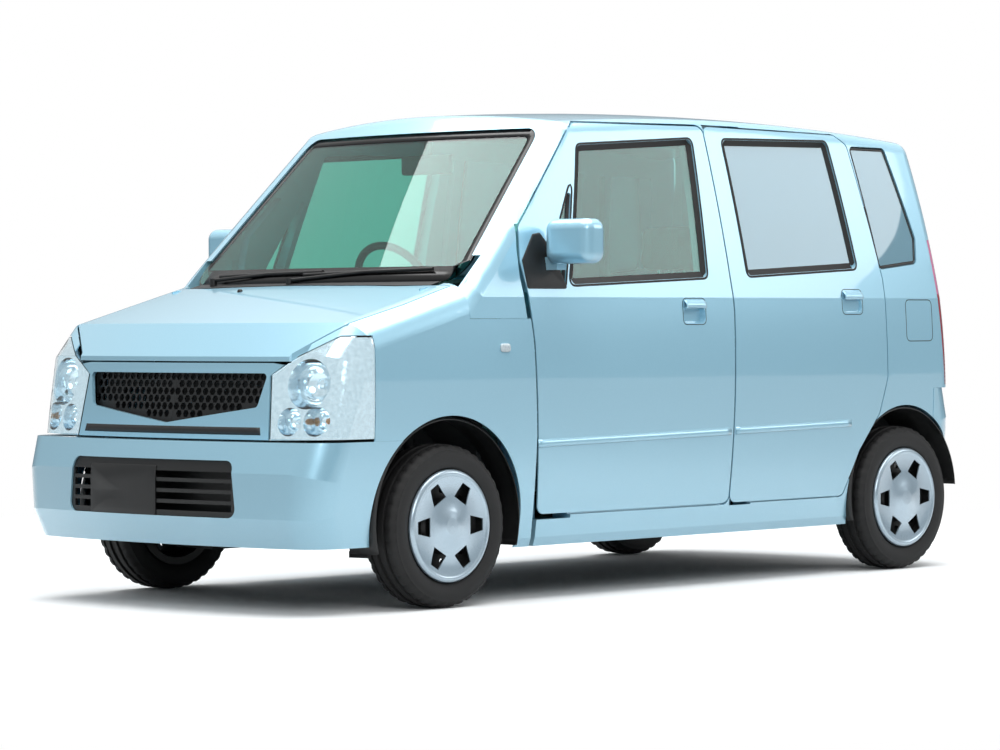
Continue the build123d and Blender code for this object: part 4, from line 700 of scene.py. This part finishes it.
AERIAL_PROFILE = ((12, -8), (12, 2), (8, 8), (5, 9))
GRIP = (0, 985, 420, 46)
GRIP_R = 14


def make_bulbs():
    """Three bulbs in each headlamp, in proportion to their reflectors."""
    for side, sign in SIDES.items():
        for number, (x, y, z, radius) in enumerate(REFLECTORS):
            look = AMBER if number == AMBER_BULB else LOOKS["lamp_chrome"]
            profile = [(BULB_TIP_R, 0), (radius * 0.2, 2), (radius * 0.24, radius * 0.3),
                       (radius * 0.2, radius * 0.55), (BULB_TIP_R, radius * 0.66)]
            turned(f"lamp_bulb_{number}_{side}", profile, (sign * x, y + radius * BULB_DEPTH, z), FORWARD,
                   look, "body", segments=20)


def make_air_guide():
    """A louvred guide behind the low intake, bowed like the bumper."""
    bm = bmesh.new()
    rows = []
    for k in range(GUIDE_COLUMNS):
        x = GUIDE_LEFT + GUIDE_PITCH * k
        bow = GUIDE_BOW_R - math.sqrt(GUIDE_BOW_R ** 2 - x ** 2)
        row = []
        for j in range(LOUVRE_ROWS):
            y = GUIDE_Y + bow + (LOUVRE_DEPTH if j % 2 else 0)
            row.append(bm.verts.new(Vector((x, y, GUIDE_LOW + LOUVRE_PITCH * j)) * MM))
        rows.append(row)
    bridge(bm, rows, False)
    laid(bm, "louvred_air_guide", "front", LOOKS["black_plastic"], "body", GUIDE_THICK)


def make_front_details():
    """The dark slot under the grille, the blank plate, the air guide, washer nozzle and aerial base."""
    black = LOOKS["black_plastic"]
    strip("under_grille_slot", "front", "grille_surround", SLOT_LOW, SLOT_HIGH, SLOT_PROFILE, black, "body",
          step=20.0, thick=0.3)
    plate = dense(rounded(outline_box(*FRONT_PLATE), FRONT_PLATE_R), 40)
    patch("blank_front_plate", "front", "grilles", plate, black, "body", lift=3.0, crown=1.0)
    make_air_guide()
    turned("washer_nozzle", WASHER_PROFILE, WASHER_PLACE, UP, black, "hood", segments=16)
    turned("aerial_base", AERIAL_PROFILE, AERIAL_PLACE, AERIAL_LEAN, black, "body",
           segments=20)


def make_rear_details():
    """The grip on the tailgate."""
    grip = dense(rounded(outline_box(*GRIP), GRIP_R), 30)
    patch("tailgate_grip", "rear", "tailgate", grip, LOOKS["body_paint"], "tailgate",
          lift=1.0, crown=12.0)


# Wheel arches and tyres

FRONT_AXLE_Y = -1052.5
REAR_AXLE_Y = 1307.5
WHEEL_Z = 260
ARCH_Z = 275
# The axle's place, the arch's radius, and the inner edge and the sweep in degrees of its liner
ARCHES = {"front": (FRONT_AXLE_Y, 327, 596, 212), "rear": (REAR_AXLE_Y, 315, 500, 192)}
# The axle's place and the middle of the tyre
TYRES = {"front": (FRONT_AXLE_Y, 648), "rear": (REAR_AXLE_Y, 645)}
LINER_START = -16
LINER_STEPS = 56
LINER_THICK = 1.5
LINER_GROWTH = 4
LINER_LIP = ((650, LINER_GROWTH), (704, 3), (712, -2), (714, -6))
TYRE_HALF = [(54, 167), (58, 178), (66, 186), (67.5, 189), (69, 187), (74, 200), (76.5, 214), (75, 228),
             (72, 236), (72.5, 239), (69, 243), (64, 249), (58, 254.5), (52, 257)]
TREAD = [(40, 258.2), (38.5, 251), (29.5, 251), (28, 259), (9, 259.4), (7.5, 252), (0, 252)]
TYRE_STEPS = 120
CUT_EVERY = 3
CUT_DEPTH = 5
SHOULDER_X = 39
SHOULDER_R = 240
TYRE_SHARP = 35


def make_liner(name, sign, y, radius, x_in, sweep):
    """One arch's liner: an arc carried outward, with a small lip at its outer edge."""
    bm = bmesh.new()
    rows = []
    for k in range(LINER_STEPS + 1):
        angle = math.radians(LINER_START + sweep * k / LINER_STEPS)
        row = []
        for x, growth in ((x_in, LINER_GROWTH), *LINER_LIP):
            r = radius + growth
            place = Vector((sign * x, y - r * math.cos(angle), ARCH_Z + r * math.sin(angle)))
            row.append(bm.verts.new(place * MM))
        rows.append(row)
    bridge(bm, rows, False)
    bmesh.ops.recalc_face_normals(bm, faces=bm.faces)
    made = piece(name, smooth_mesh(bm, name), LOOKS["black_plastic"], "body")
    add_shell(made, LINER_THICK, 0)


def make_liners():
    """Dark liners inside the wheel arches."""
    for axle, (y, radius, x_in, sweep) in ARCHES.items():
        for side, sign in SIDES.items():
            make_liner(f"{axle}_{side}_arch_liner", sign, y, radius, x_in, sweep)


def make_tyre(corner, x_wheel, y_wheel):
    """One tyre with ribbed side walls, three round grooves and cross cuts in the shoulders."""
    half = TYRE_HALF + TREAD
    profile = half + [(-x, r) for x, r in reversed(half[:-1])]
    bm = bmesh.new()
    rows = []
    for k in range(TYRE_STEPS):
        angle = 2 * math.pi * k / TYRE_STEPS
        row = []
        for x, r in profile:
            if k % CUT_EVERY == 0 and abs(x) > SHOULDER_X and r > SHOULDER_R:
                r = r - CUT_DEPTH
            place = Vector((x_wheel + x, y_wheel + r * math.cos(angle), WHEEL_Z + r * math.sin(angle)))
            row.append(bm.verts.new(place * MM))
        rows.append(row)
    bridge(bm, rows[-1:] + rows)
    bmesh.ops.recalc_face_normals(bm, faces=bm.faces)
    name = f"{corner}_treaded_tyre"
    made = piece(name, smooth_mesh(bm, name), LOOKS["tyre_rubber"], f"wheel_{corner}")
    add_sharp_edges(made, TYRE_SHARP)
    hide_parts(f"{corner}_tyre")


def make_tyres():
    """The four tyres with their tread."""
    for axle, (y, x) in TYRES.items():
        for side, sign in SIDES.items():
            make_tyre(f"{axle}_{side}", sign * x, y)


# Seats

SEATS = (
    # Name, middle, half width, front edge, foot of the back, height of the base, and the head rests' middles:
    # all places across, then the place along the car and the height
    ("front_left", 320, 232, -130, 300, 400, (320,), 475, 1160),
    ("front_right", -320, 232, -130, 300, 400, (-320,), 475, 1160),
    ("rear", 0, 552, 640, 1040, 430, (-280, 280), 1215, 1190),
)
SEAT_CORNER_R = 30
HALF_SHARES = (0.3, 0.48, 0.52, 0.62, 0.78, 0.9, 0.97, 1)
SEAT_SHARES = [-share for share in reversed(HALF_SHARES)] + [0, *HALF_SHARES]
END_POWER = 10
END_ROUND = 0.55
END_SCALE = 0.42
BOLSTER_AT = 0.75
BOLSTER_SPREAD = 0.16
CHANNEL_AT = 0.5
CHANNEL_SPREAD = 0.03
CHANNEL_DEPTH = 7
REST_HALF = 122
POST_HALF = 60
POST_PROFILE = ((6, -150), (6, -20), (6, 0))


def bell(across, middle, spread):
    """A smooth hump about a place across the seat."""
    return math.exp(-((across - middle) / spread) ** 2)


def cushion(name, x_middle, half, outline, bolster):
    """A padded piece: a side-view outline carried across, with bolsters, sewn channels and round ends."""
    bm = bmesh.new()
    middle = middle_of(outline)
    rows = []
    for share in SEAT_SHARES:
        across = abs(share)
        scale = (1 - across ** END_POWER) ** 0.5 * END_ROUND + 1 - END_ROUND if across < 1 else END_SCALE
        grow = bolster * bell(across, BOLSTER_AT, BOLSTER_SPREAD)
        grow -= CHANNEL_DEPTH * bell(across, CHANNEL_AT, CHANNEL_SPREAD)
        row = []
        for u, v in outline:
            way = Vector((u, v)) - middle
            point = middle + way * scale + way.normalized() * grow * scale
            row.append(bm.verts.new(Vector((x_middle + half * share, point.x, point.y)) * MM))
        rows.append(row)
    bridge(bm, rows)
    bm.faces.new(rows[0])
    bm.faces.new(rows[-1])
    bmesh.ops.recalc_face_normals(bm, faces=bm.faces)
    made = piece(name, smooth_mesh(bm, name), LOOKS["seat_fabric"], "body")
    soft = made.modifiers.new("soft", "SUBSURF")
    soft.levels = 1
    soft.render_levels = 1
    return made


def make_head_rest(name, number, x, y, z):
    """A head rest on two posts."""
    outline = [(y - 42, z - 76), (y - 36, z + 76), (y + 34, z + 76), (y + 42, z - 76)]
    cushion(f"{name}_head_rest_{number}", x, REST_HALF, dense(rounded(outline, SEAT_CORNER_R), 30), 3)
    for post in (-POST_HALF, POST_HALF):
        turned(f"{name}_rest_post_{number}_{post + POST_HALF}", POST_PROFILE, (x + post, y, z), UP,
               LOOKS["lamp_chrome"], "body", segments=12)


def make_seats():
    """Front and rear seats as padded cushions, backs and head restraints."""
    for name, x, half, front, back, base, rests, rest_y, rest_z in SEATS:
        outline = [(front - 4, base + 8), (front - 6, base + 132), (front + 40, base + 150),
                   (back - 20, base + 118), (back + 30, base + 40), (back + 10, base + 8)]
        cushion(f"{name}_cushion", x, half, dense(rounded(outline, SEAT_CORNER_R), 45), 9)
        outline = [(back - 8, base + 108), (back + 132, base + 650), (back + 205, base + 652),
                   (back + 116, base + 66), (back + 60, base + 20)]
        cushion(f"{name}_back", x, half, dense(rounded(outline, SEAT_CORNER_R), 60), 8)
        for number, rest_x in enumerate(rests):
            make_head_rest(name, number, rest_x, rest_y, rest_z)
    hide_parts("front_seats")
    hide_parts("rear_seat")


make_camera()
make_floor()
make_world()
make_lamps()
dress_nodes()
make_borders()
make_side_details()
make_bulbs()
make_front_details()
make_rear_details()
make_liners()
make_tyres()
make_seats()

view = bpy.context.scene.view_settings
view.view_transform = "Standard"
